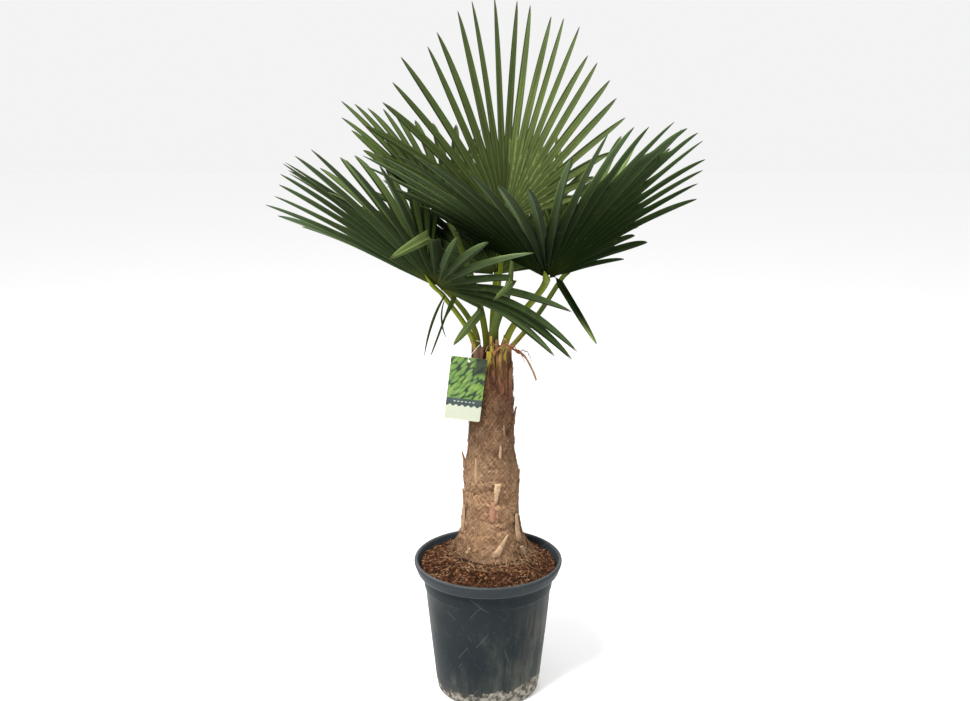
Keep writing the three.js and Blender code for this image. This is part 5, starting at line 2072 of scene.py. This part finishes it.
def tie_path(settings):
    """The closed path of the tie: through the card's hole and round the left leaf stalk."""
    held = bezier(*Fan("left").stalk_curve(), [TIE_UP_STALK])[0]
    hole = np.array(card_place(settings) @ Vector((0, 0, settings.height / 2 - HOLE_DOWN)))
    hole = hole + UP * (HOLE_RADIUS - TIE_RADIUS - CLEAR)
    to_stalk = unit((held - hole) * (1, 1, 0))
    leftward = np.cross(UP, to_stalk)
    room = 0.0168

    def beside(x, y, z):
        return hole + np.array((x, y, z)) * MM

    def around(ahead, aside, up):
        return held + to_stalk * ahead + leftward * aside + UP * up * MM

    knots = (
        beside(0, -2.5, 0.3), beside(-2, -5, 9), around(-14 * MM, room - 3 * MM, -5), around(0, room, 0),
        around(room - 4 * MM, 6 * MM, 2), around(room - 4 * MM, -6 * MM, 2), around(0, -room, 0),
        around(-14 * MM, 4 * MM - room, -6), beside(3, 5, 8), beside(0, 2.5, 0.3),
    )
    knots = np.array(knots)
    points = []
    count = len(knots)
    for k in range(count):
        p0, p1, p2, p3 = (knots[(k + j - 1) % count] for j in range(4))
        gaps = [max(np.linalg.norm(b - a) ** 0.5, 1e-4) for a, b in ((p0, p1), (p1, p2), (p2, p3))]
        m1 = ((p1 - p0) / gaps[0] - (p2 - p0) / (gaps[0] + gaps[1]) + (p2 - p1) / gaps[1]) * gaps[1]
        m2 = ((p2 - p1) / gaps[1] - (p3 - p1) / (gaps[1] + gaps[2]) + (p3 - p2) / gaps[2]) * gaps[1]
        for s in np.arange(9) / 9:
            points.append(
                (2 * s**3 - 3 * s**2 + 1) * p1 + (s**3 - 2 * s**2 + s) * m1
                + (3 * s**2 - 2 * s**3) * p2 + (s**3 - s**2) * m2
            )
    return np.array(points)


class PALM_OT_label(bpy.types.Operator):
    """Makes the hanging label and its tie"""

    bl_idname = "palm.label"
    bl_label = "Label"

    def execute(self, context):
        settings = context.scene.palm_label
        card = card_mesh(settings)
        finish_piece(card, ["label_card"])
        path = tie_path(settings)
        ahead = unit(np.roll(path, -1, axis=0) - np.roll(path, 1, axis=0))
        across = unit(np.cross(ahead, np.tile((0.3, 0.2, 1.0), (len(path), 1))))
        over = np.cross(ahead, across)
        sides = 8
        angle = np.arange(sides) / sides * 2 * np.pi
        rings = path[:, None] + 0.0007 * (
            across[:, None] * np.cos(angle)[None, :, None] + over[:, None] * np.sin(angle)[None, :, None]
        )
        faces = ring_faces(len(path), sides, loop=True)
        tie = add_piece("tie", rings.reshape(-1, 3), faces, [tie_finish()])
        weld(tie, 1e-6)
        finish_piece(tie, ["label_tie"])
        return {"FINISHED"}


# ---------- panel ----------


STEPS = (
    PALM_OT_stage,
    PALM_OT_pot,
    PALM_OT_mix,
    PALM_OT_trunk,
    PALM_OT_stalks,
    PALM_OT_fans,
    PALM_OT_spear,
    PALM_OT_withered,
    PALM_OT_label,
)

SETTINGS = (
    ("palm_stage", StageSettings),
    ("palm_pot", PotSettings),
    ("palm_mix", MixSettings),
    ("palm_trunk", TrunkSettings),
    ("palm_fans", FanSettings),
    ("palm_stalks", StalkSettings),
    ("palm_label", LabelSettings),
)


class PALM_PT_panel(bpy.types.Panel):
    """Lists the pieces of the palm and their settings"""

    bl_idname = "PALM_PT_panel"
    bl_label = "Potted Windmill Palm"
    bl_space_type = "VIEW_3D"
    bl_region_type = "UI"
    bl_category = "Palm"

    def draw(self, context):
        layout = self.layout
        for step in STEPS:
            layout.operator(step.bl_idname)
        for key, group in SETTINGS:
            box = layout.box()
            box.label(text=group.__doc__)
            for field in group.__annotations__:
                box.prop(getattr(context.scene, key), field)


def register():
    for key, group in SETTINGS:
        bpy.utils.register_class(group)
        setattr(bpy.types.Scene, key, PointerProperty(type=group))
    for step in STEPS:
        bpy.utils.register_class(step)
    bpy.utils.register_class(PALM_PT_panel)


def unregister():
    bpy.utils.unregister_class(PALM_PT_panel)
    for step in reversed(STEPS):
        bpy.utils.unregister_class(step)
    for key, group in reversed(SETTINGS):
        delattr(bpy.types.Scene, key)
        bpy.utils.unregister_class(group)


def main():
    register()
    for step in STEPS:
        call = getattr(bpy.ops.palm, step.bl_idname.split(".")[1])
        if call() != {"FINISHED"}:
            raise RuntimeError(f"{step.bl_label} did not finish")


if __name__ == "__main__":
    main()
